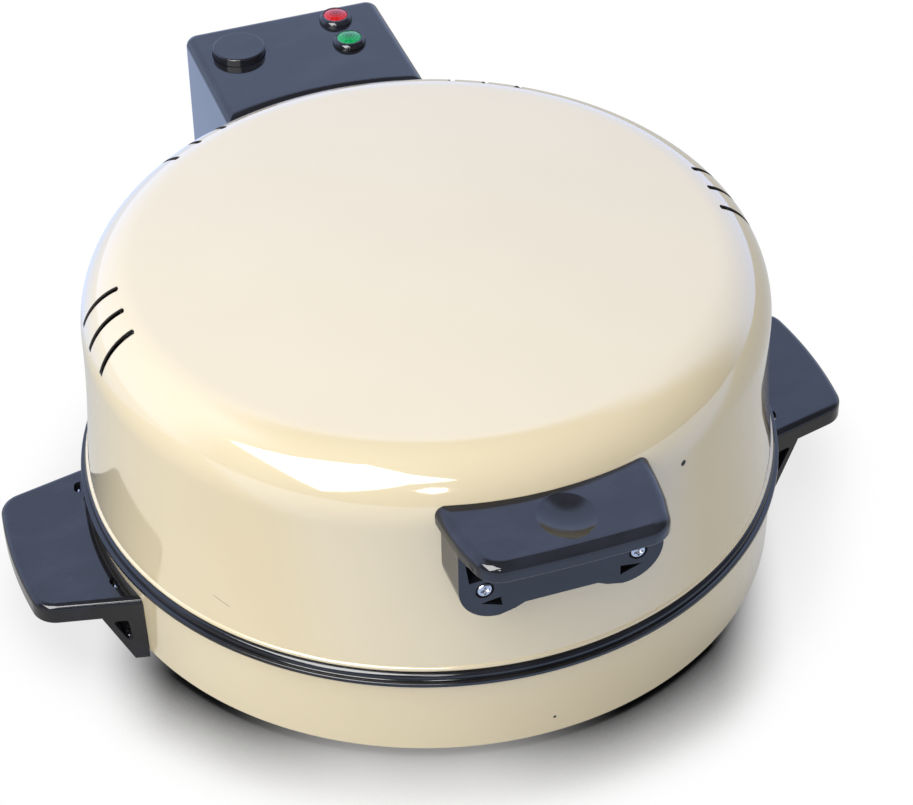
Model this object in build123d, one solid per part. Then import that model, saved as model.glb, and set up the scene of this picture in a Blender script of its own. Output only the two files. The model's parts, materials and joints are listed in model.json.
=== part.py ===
from build123d import *
import math
import os

os.makedirs("parts", exist_ok=True)

# Clearances between neighbouring pieces
seat_gap = 0.3
hole_gap = 0.15
running_gap = 0.05
button_gap = 0.4

# The base wall's radius at its top, from which every other radius and reach follows
body_radius = 174.2

# Base pan
foot_height = 5.0
base_height = 45.0
base_taper = 1.0
base_corner_radius = 2.0
base_sheet = 1.2
base_hem_radius = 1.2
vent_count = 10
vent_length = 36.0
vent_width = 4.0
vent_inset = 78.0

# Black ring between base and lid
ring_height = 7.0
ring_top_inset = 1.8
ring_shoulder_overhang = 0.7
ring_overhang = 2.8
ring_upper_bead = 3.4
ring_skirt_depth = 6.0
ring_skirt_width = 3.2
ring_ledge_height = 3.2
ring_lip_height = 3.0
ring_lip_width = 3.6

# Baking plate
plate_inset = 16.2
plate_thickness = 2.5
plate_margin = 8.0
plate_rim_rise = 1.0
plate_boss_radius = 9.0
plate_ledge = 7.0

# Lid shell
rim_inset = 1.3
lid_taper = 4.6
wall_height = 83.0
shoulder_run = 28.3
shoulder_rise = 32.0
crown_angle = 1.6
lid_sheet = 1.0
hem_radius = 1.5
slot_width = 3.4
slot_low_angle = 21.0
slot_high_angle = 73.0
slot_pitch = 6.7
slot_groups = (88.0, 31.2, -31.2, -90.0)
slots_per_group = 3

# Lid liner
liner_sheet = 0.8
liner_flange_width = 12.9
liner_slope = 10.0
liner_corner = 14.0
liner_top_drop = 20.0
liner_post_radius = 4.0
liner_post_inset = 41.0
liner_post_count = 4

# Heating elements
tube_radius = 3.3
tube_bend_radius = 12.0
upper_loop_inset = 55.0
upper_loop_drop = 15.0
lower_loop_inset = 50.0
lower_loop_height = 9.0
terminal_spacing = 44.0
bead_radius = 6.0
bead_length = 8.0
terminal_radius = 1.6
terminal_length = 5.0
hanger_angles = (-90.0, 30.0, 150.0)
hanger_width = 8.0
hanger_strip = 1.4
hanger_foot = 12.0
rivet_radius = 1.8

# Lower reflector
reflector_sheet = 0.8
reflector_wall_inset = 11.0
reflector_depth = 17.0
reflector_hole_radius = 24.0
reflector_screw_inset = 2.5

# Side handles
side_overhang = 44.2
side_root_half = 51.5
side_corner_setback = 3.8
side_corner_half = 42.5
side_corner_radius = 13.0
side_top_drop = 16.0
side_height = 11.0
side_plate = 4.5
side_wall = 3.2
side_top_round = 3.4
side_bottom_round = 0.9
side_flange = 4.2
side_flange_height = 22.0
side_leg_inner = 43.5
side_leg_tip = 2.0
side_leg_foot = 5.6
side_gusset_reach = 19.0
side_pocket_depth = 5.5
side_screw_half = 36.5
side_screw_drop = 21.5
side_notch = 4.1
side_notch_reach = 3.4
right_handle_turn = 1.5

# Front handle
front_overhang = 33.1
front_half_root = 51.3
front_half_mid = 50.3
front_half_front = 43.8
front_root_setback = 48.0
front_mid_setback = 33.0
front_waist_setback = 20.0
front_corner_radius = 13.0
front_top_rise = 96.0
front_thickness = 9.5
front_top_round = 5.4
front_bottom_round = 1.2
front_bulge = 1.2
bracket_setback = 22.0
bracket_half = 49.0
bracket_wall = 3.0
lobe_radius = 19.5
lobe_drop = 30.5
arch_drop = 46.0
arch_half = 17.5
arch_shoulder = 22.0
arch_shoulder_drop = 48.2
front_screw_spacing = 73.4
front_screw_drop = 32.8
dimple_half_width = 13.7
dimple_half_length = 15.5
dimple_depth = 3.0
dimple_setback = 21.8
dimple_x = 1.9
pocket_depth = 9.0

# Screws
screw_radius = 2.0
screw_head_radius = 3.6
screw_head_height = 2.4
cross_width = 1.0
cross_length = 4.4
cross_depth = 1.2
nut_radius = 3.9
nut_height = 3.2
small_screw_radius = 1.5
small_head_radius = 2.8
small_head_height = 1.8

# Rear box
box_half = 54.5
box_overhang = 72.0
box_height = 98.3
box_lift = 5.0
box_wall = 2.8
box_top_wall = 3.0
box_corner = 7.0
box_top_round = 5.0
box_boss_radius = 4.5
box_boss_height = 30.0
cover_thickness = 3.0
box_bolt_angle = 13.0
box_bolt_rises = (22.0, 70.0)
lead_hole_rise = 50.0
lead_hole_radius = 7.0

# Things on the box top
button_inset = 23.3
button_setback = 28.9
button_radius = 14.0
button_rise = 4.5
button_travel = 2.5
button_round = 1.0
button_flange = 2.4
button_stem_radius = 4.0
button_stem_length = 10.0
switch_size = (22.0, 30.0, 24.0)
lamp_inset = 26.9
lamp_setback = 27.5
lamp_spacing = 24.2
bezel_radius = 9.0
bezel_top_radius = 7.4
bezel_rise = 3.4
bezel_tube_radius = 5.8
bezel_tube_length = 12.0
bezel_wall = 1.0
lens_radius = 6.5
lens_dome = 1.5
bulb_radius = 2.4
bulb_length = 12.0

# Hinge
hinge_setback = 22.9
hinge_drop = 5.0
pin_radius = 3.0
knuckle_radius = 11.0
knuckle_outer = 40.5
knuckle_inner = 28.0
ear_radius = 9.0
ear_gap = 0.5
ear_width = 8.0
pin_overhang = 3.4
clip_thickness = 1.2
clip_radius = 6.0
bracket_lift = 7.0
bracket_top_gap = 6.0
bracket_shell = 3.0
bracket_flange_half = 48.0
bracket_flange_thickness = 4.0
bracket_screw_half = 44.0
bracket_screw_drops = (32.0, 10.0)
harness_radius = 2.6
harness_bend = 8.0
harness_x = 16.0
harness_hole_drop = 20.0

# Feet
foot_radius = 10.0
foot_inset = 38.2
foot_recess_radius = 4.6
foot_web = 2.0

# Cord gland
gland_angle = 60.0
gland_lift = 21.0
gland_bore = 3.7
gland_radius = 7.5
gland_thread_radius = 6.0
gland_length = 14.0
gland_inside = 9.0
gland_nut_thickness = 3.0

# Control parts in the base
thermostat_radius = 8.0
thermostat_height = 10.0
fuse_radius = 2.2
fuse_length = 13.0
block_size = (40.0, 18.0, 14.0)
block_ways = 4
lid_block_x = 8.0
block_inset = 46.2
wire_radius = 1.3
wire_bend = 6.0

# Levels that the pieces share
base_top_radius = body_radius
base_bottom_radius = body_radius - base_taper
ring_top_radius = body_radius - ring_top_inset
ring_shoulder_radius = body_radius + ring_shoulder_overhang
ring_bottom_radius = body_radius + ring_overhang
plate_radius = body_radius - plate_inset
plate_bake_radius = plate_radius - plate_margin
rim_radius = body_radius - rim_inset
wall_radius = rim_radius - lid_taper
liner_flange_inner = rim_radius - liner_flange_width
liner_top_radius = liner_flange_inner - liner_slope
liner_post_circle = rim_radius - liner_post_inset
upper_loop_radius = rim_radius - upper_loop_inset
lower_loop_radius = plate_radius - lower_loop_inset
reflector_wall_radius = plate_radius - reflector_wall_inset
reflector_screw_circle = plate_radius - reflector_screw_inset
vent_circle_radius = base_bottom_radius - vent_inset
foot_circle_radius = base_bottom_radius - foot_inset
side_reach = body_radius + side_overhang
side_corner_x = side_reach - side_corner_setback
front_reach = rim_radius + front_overhang
front_root_y = front_reach - front_root_setback
front_mid_y = front_reach - front_mid_setback
front_waist_y = front_reach - front_waist_setback
bracket_face = front_reach - bracket_setback
dimple_y = front_reach - dimple_setback
box_back = rim_radius + box_overhang
button_x = button_inset - box_half
button_y = box_back - button_setback
lamp_x = box_half - lamp_inset
lamp_middle_y = box_back - lamp_setback
hinge_y = box_back - hinge_setback
block_y = body_radius - block_inset
base_top = foot_height + base_height
lid_line = base_top + ring_height
ring_deck = lid_line - seat_gap
ring_bottom = base_top + seat_gap
ledge_z = base_top + ring_ledge_height
plate_bottom = ledge_z + 0.1
plate_top = plate_bottom + plate_thickness
lip_top = lid_line + ring_lip_height
plate_seat_radius = plate_radius + 2 * seat_gap
lip_outer_radius = plate_seat_radius + 2.0 + ring_lip_width
wall_top = lid_line + wall_height
front_screw_x = front_screw_spacing / 2
front_top_z = lid_line + front_top_rise
lobe_z = front_top_z - lobe_drop
arch_z = front_top_z - arch_drop
arch_shoulder_z = front_top_z - arch_shoulder_drop
front_screw_z = front_top_z - front_screw_drop
box_bottom_z = lid_line + box_lift
box_top_z = box_bottom_z + box_height
box_bolt_heights = [box_bottom_z + rise for rise in box_bolt_rises]
lead_hole_z = box_bottom_z + lead_hole_rise
hinge_z = base_top - hinge_drop
bracket_floor_z = foot_height + bracket_lift
bracket_top_z = box_bottom_z - bracket_top_gap
bracket_screw_heights = [base_top - drop for drop in bracket_screw_drops]
harness_hole_z = base_top - harness_hole_drop
gland_z = foot_height + gland_lift
deep_inside = wall_radius - 50

# The object's middle lies half-way between its front and rear reach
axis_y = (front_reach + front_bulge - box_back) / 2


def polar(radius, angle, z=0.0):
    """A point at an angle from +X about the body's axis."""
    a = math.radians(angle)
    return (radius * math.cos(a), radius * math.sin(a), z)


def turned(*edges):
    """Solid of revolution from a closed outline in radius and height."""
    face = Plane.XZ * make_face(Wire(list(edges)))
    return revolve(face, Axis.Z, 360)


def turned_polygon(*points):
    face = Plane.XZ * make_face(Polyline(*points, close=True))
    return revolve(face, Axis.Z, 360)


def slab(x0, x1, y0, y1, z0, z1):
    centre = ((x0 + x1) / 2, (y0 + y1) / 2, (z0 + z1) / 2)
    return Pos(*centre) * Box(abs(x1 - x0), abs(y1 - y0), abs(z1 - z0))


def rod(start, end, radius):
    """Cylinder from one point to another."""
    line = Vector(*end) - Vector(*start)
    plane = Plane(origin=start, z_dir=line)
    return plane * Cylinder(radius, line.length, align=(Align.CENTER, Align.CENTER, Align.MIN))


def prism(points, z0, z1):
    """Straight prism over an outline in X and Y."""
    face = make_face(Polyline(*points, close=True))
    return Pos(0, 0, z0) * extrude(face, z1 - z0, dir=(0, 0, 1))


def side_prism(points, x0, x1):
    """Prism along X over an outline in Y and Z."""
    face = Plane.YZ * make_face(Polyline(*points, close=True))
    return Pos(x0, 0, 0) * extrude(face, x1 - x0, dir=(1, 0, 0))


def front_prism(points, y0, y1):
    """Prism along Y over an outline in X and Z."""
    face = Plane.XZ * make_face(Polyline(*points, close=True))
    return Pos(0, y0, 0) * extrude(face, y1 - y0, dir=(0, 1, 0))


def pipe(points, bends, radius):
    """Round tube along straight runs joined by arcs."""
    path = FilletPolyline(*points, radius=bends)
    start = Plane(origin=path @ 0, z_dir=path % 0)
    return sweep(start * Circle(radius), path=path)


def spun(shape, angles):
    return [Rot(0, 0, a) * shape for a in angles]


def joined(shapes):
    result = shapes[0]
    for shape in shapes[1:]:
        result = result + shape
    return result


def pan_screw(head_at, towards, length, shank=screw_radius, head=screw_head_radius, height=screw_head_height):
    """Cross-recess pan-head screw: the head's seat is at head_at, the shank runs towards a direction."""
    plane = Plane(origin=head_at, z_dir=-Vector(*towards))
    dome = Cylinder(head, height, align=(Align.CENTER, Align.CENTER, Align.MIN))
    dome = fillet(dome.edges().sort_by(Axis.Z)[-1], height * 0.55)
    body = dome + Cylinder(shank, length, align=(Align.CENTER, Align.CENTER, Align.MAX))
    reach = head / screw_head_radius
    for turn in (0, 90):
        bar = Box(cross_length * reach, cross_width * reach, 2 * cross_depth * reach)
        body -= Rot(0, 0, turn) * Pos(0, 0, height) * bar
    return plane * body


def hex_nut(face_at, towards, bore=screw_radius, size=nut_radius, height=nut_height):
    """Nut whose face is at face_at and whose body runs towards a direction."""
    plane = Plane(origin=face_at, z_dir=Vector(*towards))
    face = RegularPolygon(size, 6) - Circle(bore + running_gap)
    return plane * extrude(face, height, dir=(0, 0, 1))


def dome_edges(inset):
    """Lid outline from the rim to the axis, moved in by inset, as edges in radius and height."""
    run = shoulder_run - inset
    rise = shoulder_rise - inset
    centre_r = wall_radius - shoulder_run
    slope = math.radians(crown_angle)
    turn = math.degrees(math.atan((rise / run) / math.tan(slope)))
    flare = rim_radius - wall_radius
    low = lid_line + 2 * hem_radius
    height = wall_top - low
    bow = (height**2 + flare**2) / (2 * flare)
    middle = wall_radius - inset + bow - math.sqrt(bow**2 - (height / 2) ** 2)
    wall = ThreePointArc(
        (rim_radius - inset, low), (middle, low + height / 2), (wall_radius - inset, wall_top)
    )
    shoulder = EllipticalCenterArc((centre_r, wall_top), run, rise, 0, arc_size=turn)
    end = shoulder @ 1
    crown_radius = end.X / math.sin(slope)
    half = math.asin(end.X / 2 / crown_radius)
    top = end.Y + end.X * math.tan(slope / 2)
    mid_drop = crown_radius * (1 - math.cos(half))
    crown = ThreePointArc(end, (end.X / 2, top - mid_drop), (0, top))
    return wall, shoulder, crown


def dome_radius(z, inset=0.0):
    """Radius of the lid's outside at a height on its shoulder or wall."""
    if z >= wall_top:
        k = (z - wall_top) / (shoulder_rise - inset)
        return wall_radius - shoulder_run + (shoulder_run - inset) * math.sqrt(1 - k * k)
    flare = rim_radius - wall_radius
    height = wall_top - lid_line - 2 * hem_radius
    bow = (height**2 + flare**2) / (2 * flare)
    return wall_radius - inset + bow - math.sqrt(bow**2 - (wall_top - z) ** 2)


def dome_body(inset, foot_z):
    """The space that the lid fills, grown or shrunk, down to foot_z."""
    wall, shoulder, crown = dome_edges(inset)
    low = wall @ 0
    top = crown @ 1
    foot = Line((low.X, foot_z), low)
    floor = Line((0, foot_z), (low.X, foot_z))
    axis = Line(top, (0, foot_z))
    return turned(floor, foot, wall, shoulder, crown, axis)


def base_wall_radius(z):
    share = (z - foot_height) / base_height
    return base_bottom_radius + (base_top_radius - base_bottom_radius) * share


def base_envelope(gap):
    """The space that base, ring and lid rim fill, for what hugs them from outside."""
    body = turned_polygon(
        (0, 0),
        (base_wall_radius(0) + gap, 0),
        (base_wall_radius(base_top) + gap, base_top),
        (0, base_top),
    )
    hem = base_top_radius + 2 * base_hem_radius + gap
    ring = max(ring_bottom_radius, hem) + gap
    band = rod((0, 0, base_top - 4 * base_hem_radius), (0, 0, lid_line + ring_height), ring)
    return body + band


def bolted_hole(angle, z, radius, inner, outer):
    """Radial hole through the walls between two radii."""
    return rod(polar(inner, angle, z), polar(outer, angle, z), radius)


# Base pan with its hem, floor slots and holes
def make_base_pan():
    def outline(inset):
        r0 = base_bottom_radius - inset
        z0 = foot_height + inset
        corner = base_corner_radius - inset
        bend = math.radians(45)
        mid = (r0 - corner + corner * math.sin(bend), z0 + corner - corner * math.cos(bend))
        floor = Line((0, z0), (r0 - corner, z0))
        curve = ThreePointArc((r0 - corner, z0), mid, (r0, z0 + corner))
        wall = Line((r0, z0 + corner), (base_top_radius - inset, base_top - base_hem_radius))
        return floor, curve, wall

    outer = outline(0)
    inner = outline(base_sheet)
    lip = Line(outer[2] @ 1, inner[2] @ 1)
    middle = Line(inner[0] @ 0, outer[0] @ 0)
    pan = turned(*outer, lip, *inner, middle)
    hem_ring = Pos(0, 0, base_top - base_hem_radius) * Torus(base_top_radius, base_hem_radius)
    pan += hem_ring
    slot = SlotOverall(vent_length, vent_width)
    cut = Pos(vent_circle_radius, 0, foot_height - 1) * extrude(slot, 4, dir=(0, 0, 1))
    for cutter in spun(cut, [360 / vent_count * (k + 0.5) for k in range(vent_count)]):
        pan -= cutter
    for x, y in foot_places():
        pan -= rod((x, y, foot_height - 1), (x, y, foot_height + 3), screw_radius + hole_gap)
    for angle, z in side_screw_places() + bracket_screw_places():
        pan -= bolted_hole(angle, z, screw_radius + hole_gap, base_top_radius - 6, base_top_radius + 2)
    x, z = -harness_x, harness_hole_z
    pan -= rod((x, body_radius - 14, z), (x, body_radius + 6, z), harness_radius + 2)
    pan -= bolted_hole(gland_angle, gland_z, gland_thread_radius + hole_gap, body_radius - 9, body_radius + 6)
    return pan


def foot_places():
    return [polar(foot_circle_radius, a)[:2] for a in (45, 135, 225, 315)]


def side_screw_places():
    """Angle and height of the four screws of the side handles, the right handle's two first."""
    half = math.degrees(math.asin(side_screw_half / base_top_radius))
    z = lid_line - side_screw_drop
    turn = right_handle_turn
    return [(turn + half, z), (turn - half, z), (180 - half, z), (180 + half, z)]


def bracket_screw_places():
    half = math.degrees(math.asin(bracket_screw_half / base_top_radius))
    return [(90 + s * half, z) for s in (-1, 1) for z in bracket_screw_heights]


# Ring: a stepped bead outside, a ledge for the plate and a locating lip inside
def make_rim_ring():
    skirt_outer = base_wall_radius(base_top - ring_skirt_depth) - base_sheet - seat_gap
    skirt_inner = skirt_outer - ring_skirt_width
    shoulder_z = ring_deck - ring_upper_bead
    top_round = ThreePointArc(
        (ring_top_radius, ring_deck),
        (ring_top_radius + 1.9, ring_deck - 1.0),
        (ring_shoulder_radius, shoulder_z),
    )
    low_round = ThreePointArc(
        (ring_shoulder_radius, shoulder_z),
        (ring_bottom_radius - 0.5, (shoulder_z + ring_bottom) / 2 + 0.3),
        (ring_bottom_radius, ring_bottom),
    )
    points = (
        (ring_bottom_radius, ring_bottom),
        (skirt_outer, ring_bottom),
        (skirt_outer, base_top - ring_skirt_depth),
        (skirt_inner, base_top - ring_skirt_depth),
        (skirt_inner, base_top),
        (plate_radius - plate_ledge, base_top),
        (plate_radius - plate_ledge, ledge_z),
        (plate_seat_radius, ledge_z),
        (plate_seat_radius, lip_top),
        (lip_outer_radius, lip_top),
        (lip_outer_radius, ring_deck),
        (ring_top_radius, ring_deck),
    )
    ring = turned(top_round, low_round, *Polyline(*points).edges())
    for angle in reflector_screw_angles:
        x, y, _ = polar(reflector_screw_circle, angle)
        ring -= rod((x, y, base_top - 1), (x, y, ledge_z - 0.8), small_screw_radius)
    return ring


reflector_screw_angles = (45, 135, 225, 315)


# Baking plate: a flat disc with a low raised rim and a sensor boss below
def make_baking_plate():
    plate = turned_polygon(
        (0, plate_bottom),
        (plate_radius, plate_bottom),
        (plate_radius, plate_top + plate_rim_rise),
        (plate_bake_radius + 3, plate_top + plate_rim_rise),
        (plate_bake_radius, plate_top),
        (0, plate_top),
    )
    rim = plate.edges().filter_by(GeomType.CIRCLE).group_by(Axis.Z)[-1]
    plate = fillet(rim, 0.4)
    boss_bottom = plate_bottom - boss_height
    plate += rod((0, 0, boss_bottom), (0, 0, plate_bottom), plate_boss_radius)
    for x in (-bracket_hole_x, bracket_hole_x):
        post = rod((x, 0, boss_bottom), (x, 0, plate_bottom), small_head_radius)
        plate += post
        plate -= rod((x, 0, boss_bottom - 1), (x, 0, plate_bottom + 0.5), small_screw_radius)
    return plate


boss_height = 2.0
bracket_hole_x = 18.0
thermostat_top = plate_bottom - boss_height
sensor_tab_y = 4.0
sensor_tab_length = 6.0
fuse_end = (
    thermostat_radius + hanger_strip + 3.5,
    fuse_length / 2 + 5,
    thermostat_top - hanger_strip - fuse_radius - 0.1,
)


def make_thermostat():
    body = rod((0, 0, thermostat_top - thermostat_height), (0, 0, thermostat_top), thermostat_radius)
    body = fillet(body.edges().filter_by(GeomType.CIRCLE), 0.8)
    low = thermostat_top - thermostat_height - sensor_tab_length
    for y in (-sensor_tab_y, sensor_tab_y):
        body += slab(-1.6, 1.6, y - 0.4, y + 0.4, low, thermostat_top - 2)
    return body


def make_thermostat_bracket():
    """Strap over the sensor with a screw at each end, as one group of solids."""
    z = thermostat_top - hanger_strip
    strap = slab(-bracket_hole_x - 4, bracket_hole_x + 4, -4.5, 4.5, z, thermostat_top)
    strap -= rod((0, 0, z - 1), (0, 0, thermostat_top + 1), thermostat_radius)
    collar = rod((0, 0, z - 3), (0, 0, thermostat_top - 0.2), thermostat_radius + hanger_strip)
    collar -= rod((0, 0, z - 4), (0, 0, thermostat_top + 1), thermostat_radius)
    strap += collar
    screws = []
    for x in (-bracket_hole_x, bracket_hole_x):
        strap -= rod((x, 0, z - 1), (x, 0, thermostat_top + 1), small_screw_radius + hole_gap)
        screws.append(pan_screw((x, 0, z), (0, 0, 1), hanger_strip + boss_height + 0.3,
                                small_screw_radius, small_head_radius, small_head_height))
    return [strap] + screws


def make_thermal_fuse():
    """Fuse cartridge clipped beside the sensor's strap."""
    x, y, z = fuse_end
    body = rod((x, -fuse_length / 2, z), (x, fuse_length / 2, z), fuse_radius)
    return body + rod((x, -y, z), (x, y, z), 0.6)


# Heater: one unbroken tube, nearly a full circle, with both ends turned away at the rear
def element_path(loop_radius, loop_z, end_z):
    gap = math.degrees(math.asin(terminal_spacing / 2 / loop_radius))
    sign = 1 if end_z > loop_z else -1
    bend = tube_bend_radius
    step = math.degrees(bend / loop_radius)
    first = 90 + gap
    last = 90 - gap + 360

    def end_bend(angle, direction):
        x, y, _ = polar(loop_radius, angle)
        tangent = Vector(*polar(1, angle - direction * 90))
        corner = Vector(x, y, loop_z) + tangent * bend
        half = math.sqrt(0.5)
        middle = corner + (tangent * -half + Vector(0, 0, sign * (1 - half))) * bend
        middle = Vector(x, y, loop_z) + tangent * (bend * half) + Vector(0, 0, sign * bend * (1 - half))
        top = Vector(x, y, loop_z + sign * bend) + tangent * bend
        return middle, top

    mid_a, top_a = end_bend(first, 1)
    mid_b, top_b = end_bend(last, -1)
    ring = CenterArc((0, 0, loop_z), loop_radius, first, last - first)
    arc_a = ThreePointArc(top_a, mid_a, ring @ 0)
    arc_b = ThreePointArc(ring @ 1, mid_b, top_b)
    end_a = Vector(top_a.X, top_a.Y, end_z)
    end_b = Vector(top_b.X, top_b.Y, end_z)
    return Wire([Line(end_a, top_a), arc_a, ring, arc_b, Line(top_b, end_b)]), (end_a, end_b)


def make_element(path):
    start = Plane(origin=path @ 0, z_dir=path % 0)
    return sweep(start * Circle(tube_radius), path=path)


def make_insulators(ends, sign):
    """Ceramic bead and flat terminal on each end of a heater."""
    beads = []
    for end in ends:
        low = (end.X, end.Y, end.Z)
        top = (end.X, end.Y, end.Z + sign * bead_length)
        tip = (end.X, end.Y, end.Z + sign * (bead_length + terminal_length))
        bead = rod(low, top, bead_radius)
        bead = fillet(bead.edges().filter_by(GeomType.CIRCLE), 1.2)
        beads.append(bead + rod(top, tip, terminal_radius))
    return beads


def make_hangers(loop_radius, loop_z, seat_z):
    """Strip clips: an eye round the tube, a strip to the seat and a foot with a rivet."""
    sign = 1 if seat_z > loop_z else -1
    eye_radius = tube_radius + hole_gap + hanger_strip
    half = hanger_width / 2
    hangers = []
    eye = rod((loop_radius, -half, loop_z), (loop_radius, half, loop_z), eye_radius)
    stem = slab(loop_radius - hanger_strip / 2, loop_radius + hanger_strip / 2, -half, half,
                loop_z + sign * tube_radius, seat_z)
    foot = slab(loop_radius - hanger_strip / 2, loop_radius + hanger_foot, -half, half,
                seat_z - sign * hanger_strip, seat_z)
    bore = rod((loop_radius, -half - 1, loop_z), (loop_radius, half + 1, loop_z), tube_radius + hole_gap)
    clip = eye + stem + foot - bore
    x = loop_radius + hanger_foot / 2 + 1
    rivet_head = rod((x, 0, seat_z - sign * (hanger_strip + 1.2)), (x, 0, seat_z - sign * hanger_strip), 3.0)
    for angle in hanger_angles:
        hangers.append(Rot(0, 0, angle) * (clip + rivet_head))
    return hangers


# Bright dish under the lower heater
def make_lower_reflector():
    top = base_top - 0.1
    flange = reflector_screw_circle + 5
    r = reflector_wall_radius
    low = top - reflector_depth
    t = reflector_sheet
    dish = turned_polygon(
        (0, low), (r - 4, low), (r, low + 4), (r, top - t), (flange, top - t), (flange, top),
        (r - t, top), (r - t, low + 4 + t * 0.4), (r - 4 - t * 0.4, low + t), (0, low + t),
    )
    dish -= rod((0, 0, low - 1), (0, 0, low + 3), reflector_hole_radius)
    for end in lower_ends:
        dish -= rod((end.X, end.Y, low - 1), (end.X, end.Y, low + 5), tube_radius + 4 * hole_gap)
    for angle in reflector_screw_angles:
        x, y, _ = polar(reflector_screw_circle, angle)
        dish -= rod((x, y, top - 2), (x, y, top + 1), small_screw_radius + hole_gap)
    return dish


def make_reflector_screws():
    screws = []
    seat = base_top - 0.1 - reflector_sheet
    for angle in reflector_screw_angles:
        x, y, _ = polar(reflector_screw_circle, angle)
        screws.append(pan_screw((x, y, seat), (0, 0, 1), reflector_sheet + ring_ledge_height - 1.2,
                                small_screw_radius, small_head_radius, small_head_height))
    return screws


# Side handle: a tray turned upside down with a flange on the wall and two legs with gussets
def side_outline(inset):
    root = base_bottom_radius - 30
    corner = (side_corner_x - inset, side_corner_half - inset)
    lean = (side_root_half - side_corner_half) / (side_corner_x - base_top_radius)
    root_half = side_corner_half - inset + lean * (corner[0] - root)
    edge = ThreePointArc(
        (corner[0], -corner[1]), (side_reach - inset, 0), (corner[0], corner[1])
    )
    lines = [
        Line((root, -root_half), (corner[0], -corner[1])),
        edge,
        Line((corner[0], corner[1]), (root, root_half)),
        Line((root, root_half), (root, -root_half)),
    ]
    return make_face(Wire(lines))


def rounded_outline(inset, z0, z1):
    body = Pos(0, 0, z0) * extrude(side_outline(inset), z1 - z0, dir=(0, 0, 1))
    posts = body.edges().filter_by(Axis.Z).sort_by(Axis.X)[-2:]
    return fillet(posts, side_corner_radius - inset)


def make_side_handle():
    top = lid_line - side_top_drop
    bottom = top - side_height
    tray = rounded_outline(0, bottom, top)
    top_edges = tray.edges().group_by(Axis.Z)[-1]
    tray = fillet(top_edges.sort_by(Axis.X)[1:], side_top_round)
    low_edges = tray.edges().group_by(Axis.Z)[0]
    tray = fillet(low_edges.sort_by(Axis.X)[1:], side_bottom_round)
    tray -= rounded_outline(side_wall, bottom - 1, top - side_plate)
    body = tray
    low = side_leg_tip
    reach = base_top_radius + seat_gap + side_flange
    low_reach = base_wall_radius(low) + side_flange
    liner = turned_polygon((0, low), (low_reach, low), (reach, top - side_plate + 1), (0, top - side_plate + 1))
    full = rounded_outline(0, low, top - side_plate + 1)
    inside = rounded_outline(side_pocket_depth, low - 1, top)
    body += liner & full & slab(deep_inside, side_reach, -60, 60, top - side_flange_height, top)
    for s in (-1, 1):
        near, far = sorted((s * side_leg_inner, s * (side_root_half + 10)))
        strip = slab(deep_inside, side_reach, near, far, low, top)
        wall_x = math.sqrt(base_top_radius**2 - side_root_half**2)
        edge_x = wall_x + side_gusset_reach
        foot_x = wall_x + side_leg_foot
        rib_points = [(wall_x - 12, bottom + 2), (edge_x, bottom + 2), (edge_x, bottom), (foot_x, low), (wall_x - 12, low)]
        rib = front_prism(rib_points, near, far) & full
        body += liner & full & strip
        body += rib
        pocket_points = [(foot_x + 1.4, bottom - 2.2), (edge_x - 4.4, bottom - 2.2), (foot_x - 0.6, low + 6.5)]
        pocket = front_prism(pocket_points, near, far)
        pocket = fillet(pocket.edges().filter_by(Axis.Y), 1.4)
        body -= pocket - inside
    body -= base_envelope(seat_gap)
    for angle, z in side_screw_places()[2:]:
        angle = 180 - angle
        seat = reach - 0.6
        notch = slab(seat, seat + side_notch_reach, -side_notch, side_notch, z - side_notch, top + 1)
        notch = fillet(notch.edges().filter_by(Axis.Z).sort_by(Axis.X)[-2:], side_notch * 0.7)
        body -= Rot(0, 0, angle) * notch
        body -= bolted_hole(angle, z, screw_radius + hole_gap, base_top_radius - 4, reach + 6)
    return body


def make_side_handle_screws():
    screws = []
    nuts = []
    seat = base_top_radius + seat_gap + side_flange - 0.6
    for angle, z in side_screw_places():
        inward = polar(-1, angle)
        length = seat - base_top_radius + base_sheet + nut_height + 1
        screws.append(pan_screw(polar(seat, angle, z), inward, length))
        inner = base_wall_radius(z) - base_sheet - 0.35
        nuts.append(hex_nut(polar(inner, angle, z), inward))
    return screws, nuts


# Feet and their screws
def make_feet():
    feet = []
    screws = []
    for x, y in foot_places():
        foot = rod((x, y, 0), (x, y, foot_height), foot_radius)
        foot = fillet(foot.edges().group_by(Axis.Z)[0], 1.5)
        foot -= rod((x, y, -1), (x, y, foot_height - foot_web), foot_recess_radius)
        foot -= rod((x, y, 0), (x, y, foot_height + 1), screw_radius + hole_gap)
        feet.append(foot)
        screws.append(pan_screw((x, y, foot_height - foot_web), (0, 0, 1), foot_web + base_sheet + 5))
    return feet, screws


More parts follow.
